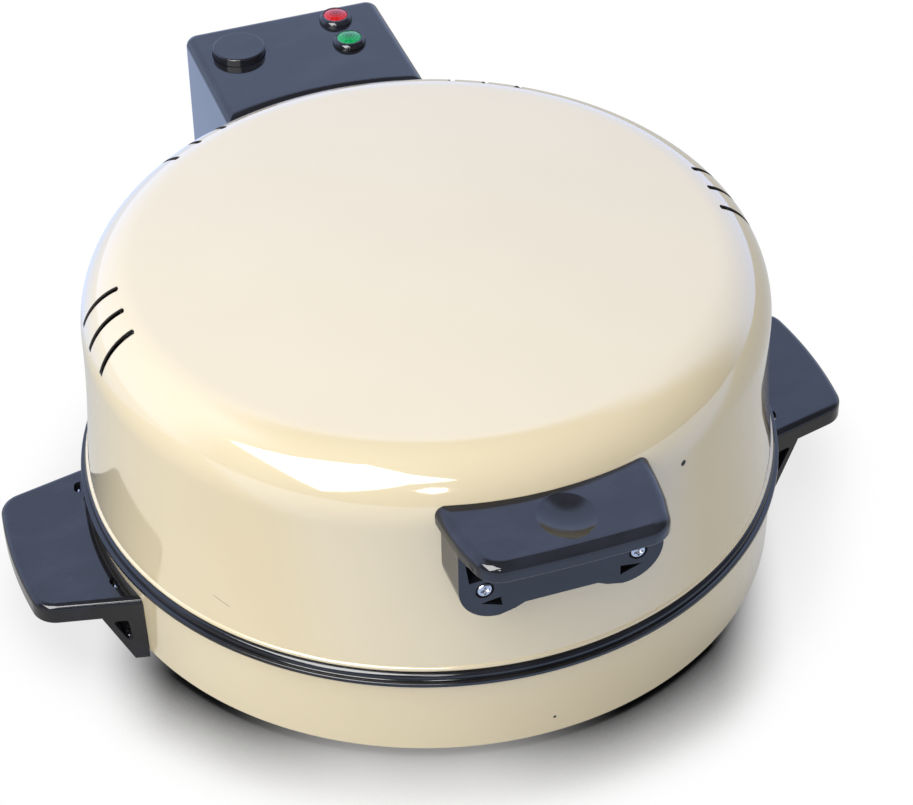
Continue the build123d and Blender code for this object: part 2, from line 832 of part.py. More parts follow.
# Hinge bracket on the base: flange on the wall, hollow arm and two knuckles
def make_hinge_bracket():
    axis = (hinge_y, hinge_z)
    wall = base_top_radius - 10
    arm = side_prism(
        [
            (wall, bracket_floor_z),
            (base_top_radius + 6, bracket_floor_z),
            (axis[0] + 2, axis[1] - knuckle_radius),
            (axis[0], bracket_top_z),
            (wall, bracket_top_z),
        ],
        -knuckle_outer,
        knuckle_outer,
    )
    knuckle = rod((-knuckle_outer, *axis), (knuckle_outer, *axis), knuckle_radius)
    body = arm + knuckle
    flange_radius = base_top_radius + seat_gap + bracket_flange_thickness
    flange = rod((0, 0, bracket_floor_z), (0, 0, base_top - 4 * base_hem_radius), flange_radius)
    flange &= slab(-bracket_flange_half, bracket_flange_half, deep_inside, hinge_y, 0, base_top)
    body += flange
    hollow_side = knuckle_inner
    inner = side_prism(
        [
            (wall, bracket_floor_z + bracket_shell),
            (base_top_radius + 5, bracket_floor_z + bracket_shell),
            (axis[0] - 6, axis[1] - knuckle_radius + 1),
            (axis[0] - 6, bracket_top_z - bracket_shell),
            (wall, bracket_top_z - bracket_shell),
        ],
        -hollow_side,
        hollow_side,
    )
    body -= inner
    body -= slab(-hollow_side, hollow_side, axis[0] - 8, axis[0] + 2 * knuckle_radius, 0, lid_line)
    body -= base_envelope(seat_gap)
    body -= rod((-knuckle_outer - 1, *axis), (knuckle_outer + 1, *axis), pin_radius)
    for angle, z in bracket_screw_places():
        body -= bolted_hole(angle, z, screw_radius + hole_gap, base_top_radius - 4, flange_radius + 6)
    return body


def make_bracket_screws():
    screws = []
    nuts = []
    seat = base_top_radius + seat_gap + bracket_flange_thickness
    for angle, z in bracket_screw_places():
        inward = polar(-1, angle)
        length = seat - base_top_radius + base_sheet + nut_height + 1
        screws.append(pan_screw(polar(seat, angle, z), inward, length))
        inner = base_wall_radius(z) - base_sheet - 0.35
        nuts.append(hex_nut(polar(inner, angle, z), inward))
    return screws, nuts


def make_hinge_pins():
    """Two short pins on one axis, each with a ring clip outside the lid's ear."""
    pins = []
    clips = []
    ear_outer = knuckle_outer + ear_gap + ear_width
    for s in (-1, 1):
        start = (s * knuckle_inner, hinge_y, hinge_z)
        end = (s * (ear_outer + pin_overhang), hinge_y, hinge_z)
        pin = rod(start, end, pin_radius)
        pins.append(chamfer(pin.edges().filter_by(GeomType.CIRCLE), 0.5))
        clip_start = s * (ear_outer + ear_gap)
        clip_end = clip_start + s * clip_thickness
        clip = rod((clip_start, hinge_y, hinge_z), (clip_end, hinge_y, hinge_z), clip_radius)
        clip -= rod((clip_start - 2 * s, hinge_y, hinge_z), (clip_end + 2 * s, hinge_y, hinge_z), pin_radius)
        mouth = slab(clip_start, clip_end, hinge_y - 2, hinge_y + 2, hinge_z - clip_radius - 1, hinge_z)
        clips.append(clip - mouth)
    return pins, clips


# Cord gland through the base wall
def make_gland():
    wall = base_wall_radius(gland_z)
    outer = wall + gland_length
    inner = wall - gland_inside
    seat = wall + seat_gap
    body = bolted_hole(gland_angle, gland_z, gland_radius, seat, outer)
    body = fillet(body.edges().filter_by(GeomType.CIRCLE), 1.4)
    body += bolted_hole(gland_angle, gland_z, gland_thread_radius, inner, seat + 2)
    body -= bolted_hole(gland_angle, gland_z, gland_bore, inner - 1, outer + 1)
    inward = polar(-1, gland_angle)
    nut_face = wall - base_sheet - seat_gap - 0.3
    nut = hex_nut(polar(nut_face, gland_angle, gland_z), inward, gland_thread_radius, 10.0, gland_nut_thickness)
    return body, nut


# Terminal blocks: one on the pan's floor, one on the cover of the rear box
def block_way(k):
    return block_size[0] / block_ways * (k - (block_ways - 1) / 2)


def make_block():
    length, width, height = block_size
    block = slab(-length / 2, length / 2, -width / 2, width / 2, 0, height)
    block = chamfer(block.edges().group_by(Axis.Z)[-1], 1.0)
    for k in range(block_ways):
        x = block_way(k)
        block -= rod((x, 0, height - 4), (x, 0, height + 1), 2.6)
        block -= rod((x, -width, block_entry), (x, width, block_entry), wire_radius + 0.1)
    return block


block_entry = 5.0
base_block_place = Pos(0, block_y, foot_height + base_sheet)
lid_block_place = Pos(lid_block_x, hinge_y, box_bottom_z)


def make_base_leads():
    """Wires on the pan's floor between block, heater, sensor and fuse."""
    z = foot_height + base_sheet + block_entry
    front = block_y - block_size[1] / 2 - 0.15
    ends = sorted(lower_ends, key=lambda e: e.X)
    leads = []
    for way, end in ((0, ends[0]), (block_ways - 1, ends[1])):
        low = end.Z - bead_length - terminal_length - 0.15
        leads.append(pipe([(block_way(way), front, z), (end.X, end.Y, z), (end.X, end.Y, low)], 3.0, wire_radius))
    tab = thermostat_top - thermostat_height - sensor_tab_length - 0.15
    x = block_way(1)
    leads.append(pipe([(x, front, z), (x, 30, z), (0, sensor_tab_y, z + 6), (0, sensor_tab_y, tab)],
                      wire_bend, wire_radius))
    fx, fy, fz = fuse_end
    leads.append(pipe([(0, -sensor_tab_y, tab), (0, -sensor_tab_y, tab - 8), (fx, -fy - 5, tab), (fx, -fy - 5, fz),
                       (fx, -fy - 0.15, fz)], 3.0, wire_radius))
    x = block_way(2)
    leads.append(pipe([(x, front, z), (x, 44, z), (fx, fy + 5, z + 8), (fx, fy + 5, fz), (fx, fy + 0.15, fz)],
                      3.0, wire_radius))
    return leads


def make_harness():
    """Sleeved wiring over the hinge: each half reaches the hinge axis, where the two meet end to end."""
    low = foot_height + base_sheet + block_entry
    back = block_y + block_size[1] / 2 + seat_gap
    start = (block_way(0) + block_way(1)) / 2
    x = -harness_x
    base_points = [
        (start, back, low),
        (start, back + 12, low),
        (x, body_radius - 6, harness_hole_z),
        (x, hinge_y - 26, harness_hole_z),
        (x, hinge_y - 12, hinge_z),
        (x, hinge_y, hinge_z),
        (-seat_gap / 2, hinge_y, hinge_z),
    ]
    lid_points = [
        (seat_gap / 2, hinge_y, hinge_z),
        (harness_x, hinge_y, hinge_z),
        (harness_x, hinge_y, box_bottom_z - 0.15),
    ]
    return pipe(base_points, 5.0, harness_radius), pipe(lid_points, harness_bend, harness_radius)


# Lid shell: dome with a rolled hem, steam slots and the holes of what is bolted to it
def make_lid_shell():
    outer = dome_edges(0)
    inner = dome_edges(lid_sheet)
    rim = Line(outer[0] @ 0, inner[0] @ 0)
    axis = Line(outer[2] @ 1, inner[2] @ 1)
    shell = turned(*outer, axis, *inner, rim)
    hem_z = lid_line + hem_radius
    shell += Pos(0, 0, hem_z) * Torus(rim_radius - lid_sheet / 2, hem_radius)
    collar = turned_polygon(
        (rim_radius - lid_sheet, hem_z), (rim_radius, hem_z),
        (rim_radius, lid_line + 2 * hem_radius + 0.05), (rim_radius - lid_sheet, lid_line + 2 * hem_radius + 0.05),
    )
    shell += collar
    for cutter in slot_cutters():
        shell -= cutter
    for x in (-front_screw_x, front_screw_x):
        shell -= rod((x, -bracket_face, front_screw_z), (x, -deep_inside, front_screw_z), screw_radius + hole_gap)
    for angle, z in box_bolt_places():
        shell -= bolted_hole(angle, z, screw_radius + hole_gap, wall_radius - 8, wall_radius + 8)
    shell -= rod((0, wall_radius - 18, lead_hole_z), (0, wall_radius + 22, lead_hole_z), lead_hole_radius)
    return shell


def slot_cutters():
    """Cutters of the steam slots, each a slab on a meridian with round ends."""
    centre_r = wall_radius - shoulder_run
    half = slot_width / 2

    def on_shoulder(angle, out):
        a = math.radians(angle)
        return (centre_r + (shoulder_run + out) * math.cos(a), wall_top + (shoulder_rise + out) * math.sin(a))

    low, high = slot_low_angle, slot_high_angle
    middle = (low + high) / 2
    outside = ThreePointArc(on_shoulder(low, 4), on_shoulder(middle, 4), on_shoulder(high, 4))
    inside = ThreePointArc(on_shoulder(high, -5), on_shoulder(middle, -5), on_shoulder(low, -5))
    outline = Wire([outside, Line(outside @ 1, inside @ 0), inside, Line(inside @ 1, outside @ 0)])
    blade = extrude(Plane.XZ * make_face(outline), half, both=True)
    for angle in (low, high):
        r_in, z_in = on_shoulder(angle, -5)
        r_out, z_out = on_shoulder(angle, 4)
        blade += rod((r_in, 0, z_in), (r_out, 0, z_out), half)
    cutters = []
    for centre in slot_groups:
        for k in range(slots_per_group):
            offset = (k - (slots_per_group - 1) / 2) * slot_pitch
            cutters.append(Rot(0, 0, 90 + centre + offset) * blade)
    return cutters


def box_bolt_places():
    return [(90 + s * box_bolt_angle, z) for s in (-1, 1) for z in box_bolt_heights]


# Liner: bright dish inside the lid, on the hem at its rim and on posts at its top
liner_top_z = wall_top + shoulder_rise - liner_top_drop
liner_flange_z = lid_line + 2 * hem_radius + seat_gap


def make_lid_liner():
    t = liner_sheet
    z0 = liner_flange_z
    z1 = liner_top_z
    flange = dome_radius(z0 + t) - lid_sheet - seat_gap
    c = liner_corner

    def outline(inset):
        r0 = liner_flange_inner - inset
        r1 = liner_top_radius - inset
        corner = c - inset
        k = math.sqrt(0.5)
        wall = Line((r0, z0 + t - inset), (r1, z1 - c))
        curve = ThreePointArc((r1, z1 - c), (r1 - corner + corner * k, z1 - c + corner * k), (r1 - corner, z1 - inset))
        top = Line((r1 - corner, z1 - inset), (0, z1 - inset))
        return wall, curve, top

    outer = outline(0)
    inner = outline(t)
    flange_top = Line((flange, z0 + t), outer[0] @ 0)
    flange_edge = Line((flange, z0), (flange, z0 + t))
    flange_low = Line(inner[0] @ 0, (flange, z0))
    axis = Line(outer[2] @ 1, inner[2] @ 1)
    liner = turned(flange_low, flange_edge, flange_top, *outer, axis, *inner)
    for end in upper_ends:
        liner -= rod((end.X, end.Y, z1 - 5), (end.X, end.Y, z1 + 5), tube_radius + 4 * hole_gap)
    for x, y in liner_post_places():
        liner -= rod((x, y, z1 - 5), (x, y, z1 + 5), small_screw_radius + hole_gap)
    return liner


def liner_post_places():
    step = 360 / liner_post_count
    return [polar(liner_post_circle, step * (k + 0.5))[:2] for k in range(liner_post_count)]


def make_liner_posts():
    """Posts welded under the dome, each with a screw up through the liner."""
    ceiling = dome_body(lid_sheet, lid_line)
    posts = []
    screws = []
    for x, y in liner_post_places():
        post = rod((x, y, liner_top_z + 0.1), (x, y, wall_top + shoulder_rise + 10), liner_post_radius) & ceiling
        post -= rod((x, y, liner_top_z), (x, y, liner_top_z + 9), small_screw_radius)
        posts.append(post)
        screws.append(pan_screw((x, y, liner_top_z - liner_sheet), (0, 0, 1), liner_sheet + 7,
                                small_screw_radius, small_head_radius, small_head_height))
    return posts, screws


# Front handle: one moulding, a thick plate over a bracket with two lobes and an arch between them
def make_front_handle():
    bottom = front_top_z - front_thickness
    root, mid, waist, tip = -front_root_y, -front_mid_y, -front_waist_y, -front_reach
    deep = root + 18
    waist_half = front_half_mid - 1.6
    half = front_half_root
    tip_half = front_half_front
    outline = Wire(
        [
            Line((-half, deep), (-half, root)),
            ThreePointArc((-half, root), (-front_half_mid, mid), (-waist_half, waist)),
            Line((-waist_half, waist), (-tip_half, tip)),
            ThreePointArc((-tip_half, tip), (0, tip - front_bulge), (tip_half, tip)),
            Line((tip_half, tip), (waist_half, waist)),
            ThreePointArc((waist_half, waist), (front_half_mid, mid), (half, root)),
            Line((half, root), (half, deep)),
            Line((half, deep), (-half, deep)),
        ]
    )
    plate = Pos(0, 0, bottom) * extrude(make_face(outline), front_thickness, dir=(0, 0, 1))
    corners = plate.edges().filter_by(Axis.Z).sort_by(Axis.Y)[:2]
    plate = fillet(corners, front_corner_radius)
    top_edges = plate.edges().group_by(Axis.Z)[-1].sort_by(Axis.Y)[:-1]
    plate = fillet(top_edges, front_top_round)
    low_edges = plate.edges().group_by(Axis.Z)[0].sort_by(Axis.Y)[:-1]
    plate = fillet(low_edges, front_bottom_round)
    bracket = make_bracket(bottom + 1)
    body = plate + bracket
    body -= dimple_cutter()
    body -= dome_body(-seat_gap, lid_line)
    return body


def dimple_cutter():
    """Thumb dimple: an oval bowl, longer from front to back than it is wide."""
    bowl = (dimple_half_width**2 + dimple_depth**2) / (2 * dimple_depth)
    long_bowl = (dimple_half_length**2 + dimple_depth**2) / (2 * dimple_depth)
    half_angle = math.radians(36)
    end_y = long_bowl * math.sin(half_angle)
    end_r = bowl - long_bowl * (1 - math.cos(half_angle))
    profile = [
        Line((0, -end_y), (end_r, -end_y)),
        ThreePointArc((end_r, -end_y), (bowl, 0), (end_r, end_y)),
        Line((end_r, end_y), (0, end_y)),
        Line((0, end_y), (0, -end_y)),
    ]
    barrel = revolve(make_face(Wire(profile)), Axis.Y, 360)
    return Pos(dimple_x, -dimple_y, front_top_z - dimple_depth + bowl) * barrel


def lobe_outline(inset, top):
    """Bracket outline in X and Z: straight sides, a round lobe on each side and an arch between."""
    half = bracket_half - inset
    r = lobe_radius - inset
    x0 = half - r
    k = math.sqrt(0.5)
    arch = arch_z + inset
    shoulder_z = arch_shoulder_z + inset
    foot_z = lobe_z - r * k
    right = [
        Line((half, top), (half, lobe_z)),
        ThreePointArc((half, lobe_z), (x0 + r * k, foot_z), (x0, lobe_z - r)),
        Line((x0, lobe_z - r), (arch_shoulder, shoulder_z)),
        Line((arch_shoulder, shoulder_z), (arch_half, arch)),
    ]
    left = [
        Line((-arch_half, arch), (-arch_shoulder, shoulder_z)),
        Line((-arch_shoulder, shoulder_z), (-x0, lobe_z - r)),
        ThreePointArc((-x0, lobe_z - r), (-x0 - r * k, foot_z), (-half, lobe_z)),
        Line((-half, lobe_z), (-half, top)),
    ]
    span = [Line((arch_half, arch), (-arch_half, arch)), Line((-half, top), (half, top))]
    return Plane.XZ * make_face(Wire(right + left + span))


def make_bracket(top):
    face_y = -bracket_face
    solid = extrude(lobe_outline(0, top), bracket_face - wall_radius + 18, dir=(0, 1, 0))
    solid = Pos(0, face_y, 0) * solid
    hollow = Pos(0, face_y + bracket_wall, 0) * extrude(
        lobe_outline(bracket_wall, top - 4), bracket_face, dir=(0, 1, 0)
    )
    solid -= hollow
    for s in (-1, 1):
        x = s * front_screw_x
        post = rod((x, face_y, front_screw_z), (x, -wall_radius + 18, front_screw_z), 5.5)
        solid += post
        triangles = pocket_triangles(s)
        for points in triangles:
            well = front_prism(points, face_y - 0.5, face_y + pocket_depth)
            lining = front_prism(grown(points, 1.6), face_y + 0.5, face_y + pocket_depth + 1.6)
            solid = solid + lining - well
        solid -= rod((x, face_y - 6, front_screw_z), (x, face_y + screw_head_height - 0.6, front_screw_z), screw_head_radius + 0.9)
        solid -= rod((x, face_y - 6, front_screw_z), (x, -deep_inside, front_screw_z), screw_radius + hole_gap)
    return solid


def pocket_triangles(side):
    """The two triangular wells beside a screw, in X and Z."""
    x = side * front_screw_x
    upper = [(x + side * 9.0, front_screw_z + 17.5), (x - side * 1.5, front_screw_z + 6.6),
             (x + side * 7.3, front_screw_z + 5.9)]
    lower = [(x + side * 2.0, front_screw_z - 7.6), (x - side * 8.4, front_screw_z - 6.2),
             (x - side * 8.4, front_screw_z - 11.6)]
    return [upper, lower]


def grown(points, margin):
    """A triangle with each corner moved away from its middle."""
    cx = sum(p[0] for p in points) / len(points)
    cz = sum(p[1] for p in points) / len(points)
    result = []
    for x, z in points:
        d = math.hypot(x - cx, z - cz)
        k = (d + 2 * margin) / d
        result.append((cx + (x - cx) * k, cz + (z - cz) * k))
    return result


def make_front_handle_screws():
    screws = []
    nuts = []
    seat = -bracket_face + screw_head_height - 0.6
    wall = math.sqrt(dome_radius(front_screw_z) ** 2 - front_screw_x**2)
    for x in (-front_screw_x, front_screw_x):
        inner = -math.sqrt((dome_radius(front_screw_z) - lid_sheet) ** 2 - front_screw_x**2) + 1.9
        length = inner + nut_height + 1 - seat
        screws.append(pan_screw((x, seat, front_screw_z), (0, 1, 0), length))
        nuts.append(hex_nut((x, inner, front_screw_z), (0, 1, 0)))
    return screws, nuts


# Rear box on the lid: hollow moulding that hugs the dome
def box_block(inset, z0, z1):
    block = slab(-box_half + inset, box_half - inset, deep_inside, box_back - inset, z0, z1)
    posts = block.edges().filter_by(Axis.Z).sort_by(Axis.Y)[-2:]
    return fillet(posts, box_corner - inset)


def make_rear_box():
    outer = box_block(0, box_bottom_z, box_top_z)
    top_edges = outer.edges().group_by(Axis.Z)[-1].sort_by(Axis.Y)[1:]
    outer = fillet(top_edges, box_top_round)
    inner = box_block(box_wall, box_bottom_z - 1, box_top_z - box_top_wall)
    inner_top = inner.edges().group_by(Axis.Z)[-1].sort_by(Axis.Y)[1:]
    inner = fillet(inner_top, box_top_round - box_wall)
    inner -= dome_body(-seat_gap - box_wall, box_bottom_z - 5)
    body = outer - inner - dome_body(-seat_gap, box_bottom_z - 5)
    body -= box_mouth_round()
    for x, y in box_boss_places():
        boss = rod((x, y, box_bottom_z), (x, y, box_bottom_z + box_boss_height), box_boss_radius)
        web = slab(x, x + math.copysign(8, x), y - 1, y + 1, box_bottom_z, box_bottom_z + box_boss_height)
        rear_web = slab(x - 1, x + 1, y, y + 8, box_bottom_z, box_bottom_z + box_boss_height)
        body += boss
        body += (rear_web if y > hinge_y else web) & box_block(0.5, box_bottom_z, box_top_z)
        body -= rod((x, y, box_bottom_z - 1), (x, y, box_bottom_z + 16), small_screw_radius)
    above = box_top_z + 10
    body -= rod((button_x, button_y, box_bottom_z), (button_x, button_y, above), button_radius + button_gap)
    for y in lamp_places():
        body -= rod((lamp_x, y, box_top_z - bezel_tube_length), (lamp_x, y, above), bezel_tube_radius + hole_gap)
    for angle, z in box_bolt_places():
        body -= bolted_hole(angle, z, screw_radius + hole_gap, wall_radius - 8, wall_radius + 14)
    body -= rod((0, wall_radius - 18, lead_hole_z), (0, wall_radius + 22, lead_hole_z), lead_hole_radius)
    return body


def box_mouth_round():
    """Cutter that rounds the box's top edge along the dome."""
    e = box_top_round
    low = box_top_z - e
    r = dome_radius(low, -seat_gap)
    k = math.sqrt(0.5)
    arc = ThreePointArc((r, low), (r + e - e * k, low + e * k), (r + e, box_top_z))
    rest = Polyline((r + e, box_top_z), (r + e, box_top_z + 1), (r - 12, box_top_z + 1), (r - 12, low), (r, low))
    return turned(arc, *rest.edges())


def box_boss_places():
    front_y = math.sqrt((wall_radius + 12) ** 2 - (box_half - 9) ** 2)
    places = []
    for s in (-1, 1):
        places.append((s * (box_half - box_wall - box_boss_radius - 0.5), front_y + 10))
        places.append((s * (knuckle_inner + 6), box_back - box_wall - box_boss_radius - 0.5))
    return places


def lamp_places():
    return (lamp_middle_y + lamp_spacing / 2, lamp_middle_y - lamp_spacing / 2)


# Cover under the box, with the two ears that hang on the hinge pins
def make_rear_box_cover():
    z0 = box_bottom_z - cover_thickness
    plate = box_block(0, z0, box_bottom_z - 0.1) - dome_body(-seat_gap, z0 - 5)
    hem_top = lid_line + 2 * hem_radius + seat_gap
    hem_reach = rim_radius - lid_sheet / 2 + hem_radius + seat_gap
    plate -= rod((0, 0, z0 - 5), (0, 0, hem_top), hem_reach)
    ears = []
    for s in (-1, 1):
        a = s * (knuckle_outer + ear_gap)
        b = a + s * ear_width
        x0, x1 = min(a, b), max(a, b)
        eye = rod((x0, hinge_y, hinge_z), (x1, hinge_y, hinge_z), ear_radius)
        web = side_prism(
            [
                (hinge_y - ear_radius, hinge_z),
                (hinge_y + ear_radius, hinge_z),
                (hinge_y + ear_radius + 2, z0 + 1),
                (hinge_y - ear_radius - 8, z0 + 1),
            ],
            x0,
            x1,
        )
        ears.append(eye + web)
    body = plate + ears[0] + ears[1]
    body -= rod((-box_half, hinge_y, hinge_z), (box_half, hinge_y, hinge_z), pin_radius + running_gap)
    for x, y in box_boss_places():
        body -= rod((x, y, z0 - 1), (x, y, box_bottom_z + 1), small_screw_radius + hole_gap)
    body -= rod((harness_x, hinge_y, z0 - 1), (harness_x, hinge_y, box_bottom_z + 1), harness_radius + 1.2)
    return body


def make_box_fasteners():
    screws = []
    z0 = box_bottom_z - cover_thickness
    for x, y in box_boss_places():
        screws.append(pan_screw((x, y, z0), (0, 0, 1), cover_thickness + 12,
                                small_screw_radius, small_head_radius, small_head_height))
    bolts = []
    nuts = []
    for angle, z in box_bolt_places():
        outward = polar(1, angle)
        inner = dome_radius(z) - lid_sheet - 0.45
        outer = dome_radius(z) + seat_gap + box_wall + 0.55
        bolts.append(pan_screw(polar(inner, angle, z), outward, outer - inner + nut_height + 1))
        nuts.append(hex_nut(polar(outer, angle, z), outward))
    return screws, bolts, nuts


# Lamps: collar with a flared skirt, domed lens and bulb
def make_lamp(y):
    top = box_top_z + bezel_rise
    tube_in = bezel_tube_radius - bezel_wall
    seat = top - 1.6
    arc = ThreePointArc(
        (bezel_radius, box_top_z + 0.05), (bezel_radius - 0.45, box_top_z + 2.0), (bezel_top_radius, top)
    )
    rest = Polyline(
        (bezel_top_radius, top), (lens_radius + 0.1, top), (lens_radius + 0.1, seat), (tube_in, seat),
        (tube_in, box_top_z - bezel_tube_length), (bezel_tube_radius, box_top_z - bezel_tube_length),
        (bezel_tube_radius, box_top_z + 0.05), (bezel_radius, box_top_z + 0.05),
    )
    bezel = turned(arc, *rest.edges())
    edge = top - 0.2
    ball = (lens_radius**2 + lens_dome**2) / (2 * lens_dome)
    middle = edge + lens_dome - ball + math.sqrt(ball**2 - (lens_radius / 2) ** 2)
    crown = ThreePointArc((lens_radius, edge), (lens_radius / 2, middle), (0, edge + lens_dome))
    under = Polyline(
        (0, edge + lens_dome), (0, seat + 0.6), (tube_in - 1.2, seat + 0.6), (tube_in - 1.2, box_top_z - 8),
        (tube_in - 0.1, box_top_z - 8), (tube_in - 0.1, seat + 0.05), (lens_radius, seat + 0.05), (lens_radius, edge),
    )
    lens = turned(crown, *under.edges())
    bulb_top = seat + 0.4
    bulb = rod((0, 0, bulb_top - bulb_length), (0, 0, bulb_top), bulb_radius)
    bulb = fillet(bulb.edges().group_by(Axis.Z)[-1], 1.5)
    bulb += rod((0, 0, bulb_top - bulb_length - 3), (0, 0, bulb_top - bulb_length + 1), tube_in - 1.3)
    place = Pos(lamp_x, y, 0)
    return place * bezel, place * lens, place * bulb


# Button: hollow cap with a retaining flange and a stem that meets the switch
def make_power_button():
    top = box_top_z + button_rise
    flange_top = box_top_z - box_top_wall - seat_gap
    flange_low = flange_top - button_flange
    cap = rod((0, 0, flange_low), (0, 0, top), button_radius)
    cap = fillet(cap.edges().group_by(Axis.Z)[-1], button_round)
    cap += rod((0, 0, flange_low), (0, 0, flange_top), button_radius + 2)
    cap -= rod((0, 0, flange_low - 1), (0, 0, top - 3), button_radius - 2.5)
    cap += rod((0, 0, flange_low - button_stem_length), (0, 0, top - 2), button_stem_radius)
    return Pos(button_x, button_y, 0) * cap


def make_power_switch():
    """Push switch hung under the box top on two posts, with its plunger socket under the button."""
    width, length, height = switch_size
    body = slab(-width / 2, width / 2, -length / 2, length / 2, switch_top - height, switch_top)
    body = fillet(body.edges().filter_by(Axis.Z), 2.0)
    carrier = slab(-18, 18, -18, 18, switch_top - 2, switch_top)
    body += fillet(carrier.edges().filter_by(Axis.Z), 3.0)
    socket = rod((0, 0, switch_top - 1), (0, 0, switch_top + 8), 6.5)
    body = body + socket - rod((0, 0, switch_top), (0, 0, switch_top + 9), button_stem_radius + button_gap)
    for x in (-switch_post, switch_post):
        for y in (-switch_post, switch_post):
            body += rod((x, y, switch_top - 2), (x, y, box_top_z - box_top_wall - 0.1), 2.6)
    low = switch_top - height - switch_tab_length
    for y in (-switch_tab_y, switch_tab_y):
        body += slab(-2, 2, y - 0.5, y + 0.5, low, switch_top - height + 1)
    return Pos(button_x, button_y, 0) * body


switch_post = 14.2
switch_tab_y = 6.0
switch_tab_length = 6.0
switch_top = (
    box_top_z - box_top_wall - seat_gap - button_flange - button_stem_length - button_travel - seat_gap
)


def make_lid_leads():
    """Wires of the rear box: block, switch and lamps, and two through the wall hole to the heater."""
    bend = 4.0
    top = box_bottom_z + block_size[2] - 4
    ways = [lid_block_x + block_way(k) for k in range(block_ways)]
    tab = switch_top - switch_size[2] - switch_tab_length - 0.15
    near, far = button_y - switch_tab_y, button_y + switch_tab_y
    leads = [pipe([(ways[0], hinge_y, top), (ways[0], hinge_y, top + 14), (button_x, far, tab - 12),
                   (button_x, far, tab)], bend, wire_radius)]
    hole = (lead_hole_radius - wire_radius) / 2
    gap_y = (dome_radius(lead_hole_z) - lid_sheet + liner_top_radius + 4) / 2
    starts = {
        -1: [(button_x, near, tab), (button_x, near, tab - 10)],
        1: [(ways[1], hinge_y, top), (ways[1], hinge_y, top + 14)],
    }
    for side, end in ((-1, upper_ends_sorted[0]), (1, upper_ends_sorted[1])):
        x = side * hole
        over = end.Z + bead_length + terminal_length / 2
        points = starts[side] + [
            (x, hinge_y - 34, lead_hole_z),
            (x, gap_y, lead_hole_z),
            (x, gap_y, lead_hole_z + 20),
            (x, gap_y - 8, liner_top_z),
            (end.X, end.Y + 20, over),
            (end.X, end.Y + terminal_radius + 0.15, over + 0.5),
        ]
        leads.append(pipe(points, bend, wire_radius))
    for way, y in zip(ways[2:], lamp_places()[::-1]):
        low = lamp_base_z - 0.15
        leads.append(pipe([(way, hinge_y, top), (way, hinge_y, top + 14), (lamp_x, y, low - 24), (lamp_x, y, low)],
                          bend, wire_radius))
    return leads


lamp_base_z = box_top_z + bezel_rise - 1.6 + 0.4 - bulb_length - 3
upper_tube_z = liner_top_z - liner_sheet - upper_loop_drop
upper_path, upper_ends = element_path(upper_loop_radius, upper_tube_z, liner_top_z + 2)
upper_ends_sorted = sorted(upper_ends, key=lambda e: e.X)
reflector_floor = base_top - 0.1 - reflector_depth + reflector_sheet
lower_tube_z = reflector_floor + lower_loop_height
lower_path, lower_ends = element_path(lower_loop_radius, lower_tube_z, reflector_floor - 4)

side_handle = make_side_handle()
side_screws, side_nuts = make_side_handle_screws()
feet, foot_screws = make_feet()
bracket_screws, bracket_nuts = make_bracket_screws()
pins, clips = make_hinge_pins()
gland, gland_nut = make_gland()
harness_base, harness_lid = make_harness()
posts, liner_screws = make_liner_posts()
front_screws, front_nuts = make_front_handle_screws()
box_screws, box_bolts, box_nuts = make_box_fasteners()
lamps = [make_lamp(y) for y in lamp_places()]

nodes = {
    "base_pan": make_base_pan(),
    "rim_ring": make_rim_ring(),
    "baking_plate": make_baking_plate(),
    "lower_element": make_element(lower_path),
    "lower_hangers": make_hangers(lower_loop_radius, lower_tube_z, reflector_floor),
    "lower_insulators": make_insulators(lower_ends, -1),
    "lower_reflector": make_lower_reflector(),
    "reflector_screws": make_reflector_screws(),
    "thermostat": make_thermostat(),
    "thermostat_bracket": make_thermostat_bracket(),
    "thermal_fuse": make_thermal_fuse(),
    "terminal_block": base_block_place * make_block(),
    "base_leads": make_base_leads(),
    "feet": feet,
    "foot_screws": foot_screws,
    "side_handle_right": Rot(0, 0, right_handle_turn) * side_handle,
    "side_handle_left": mirror(side_handle, about=Plane.YZ),
    "side_handle_screws": side_screws,
    "side_handle_nuts": side_nuts,
    "hinge_bracket": make_hinge_bracket(),
    "bracket_screws": bracket_screws,
    "bracket_nuts": bracket_nuts,
    "hinge_pins": pins,
    "pin_clips": clips,
    "cord_gland": gland,
    "gland_nut": gland_nut,
    "harness_base": harness_base,
    "lid_shell": make_lid_shell(),
    "lid_liner": make_lid_liner(),
    "liner_posts": posts,
    "liner_screws": liner_screws,
    "upper_element": make_element(upper_path),
    "upper_hangers": make_hangers(upper_loop_radius, upper_tube_z, liner_top_z - liner_sheet),
    "upper_insulators": make_insulators(upper_ends, 1),
    "front_handle": make_front_handle(),
    "front_handle_screws": front_screws,
    "front_handle_nuts": front_nuts,
    "rear_box": make_rear_box(),
    "rear_box_cover": make_rear_box_cover(),
    "rear_box_screws": box_screws,
    "rear_box_bolts": box_bolts,
    "rear_box_nuts": box_nuts,
    "red_bezel": lamps[0][0],
    "green_bezel": lamps[1][0],
    "red_lens": lamps[0][1],
    "green_lens": lamps[1][1],
    "indicator_bulbs": [lamp[2] for lamp in lamps],
    "power_switch": make_power_switch(),
    "lid_terminal_block": lid_block_place * make_block(),
    "lid_leads": make_lid_leads(),
    "harness_lid": harness_lid,
    "power_button": make_power_button(),
}

for name, shape in nodes.items():
    pieces = shape if isinstance(shape, list) else [shape]
    solids = [solid for piece in pieces for solid in piece.solids()]
    placed = [Pos(0, axis_y, 0) * solid for solid in solids]
    export_step(Compound(children=placed) if len(placed) > 1 else placed[0], f"parts/{name}.step")
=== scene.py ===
"""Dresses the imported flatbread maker: enamel, bakelite and bright metal under plain studio light."""

import json
import math
from types import SimpleNamespace

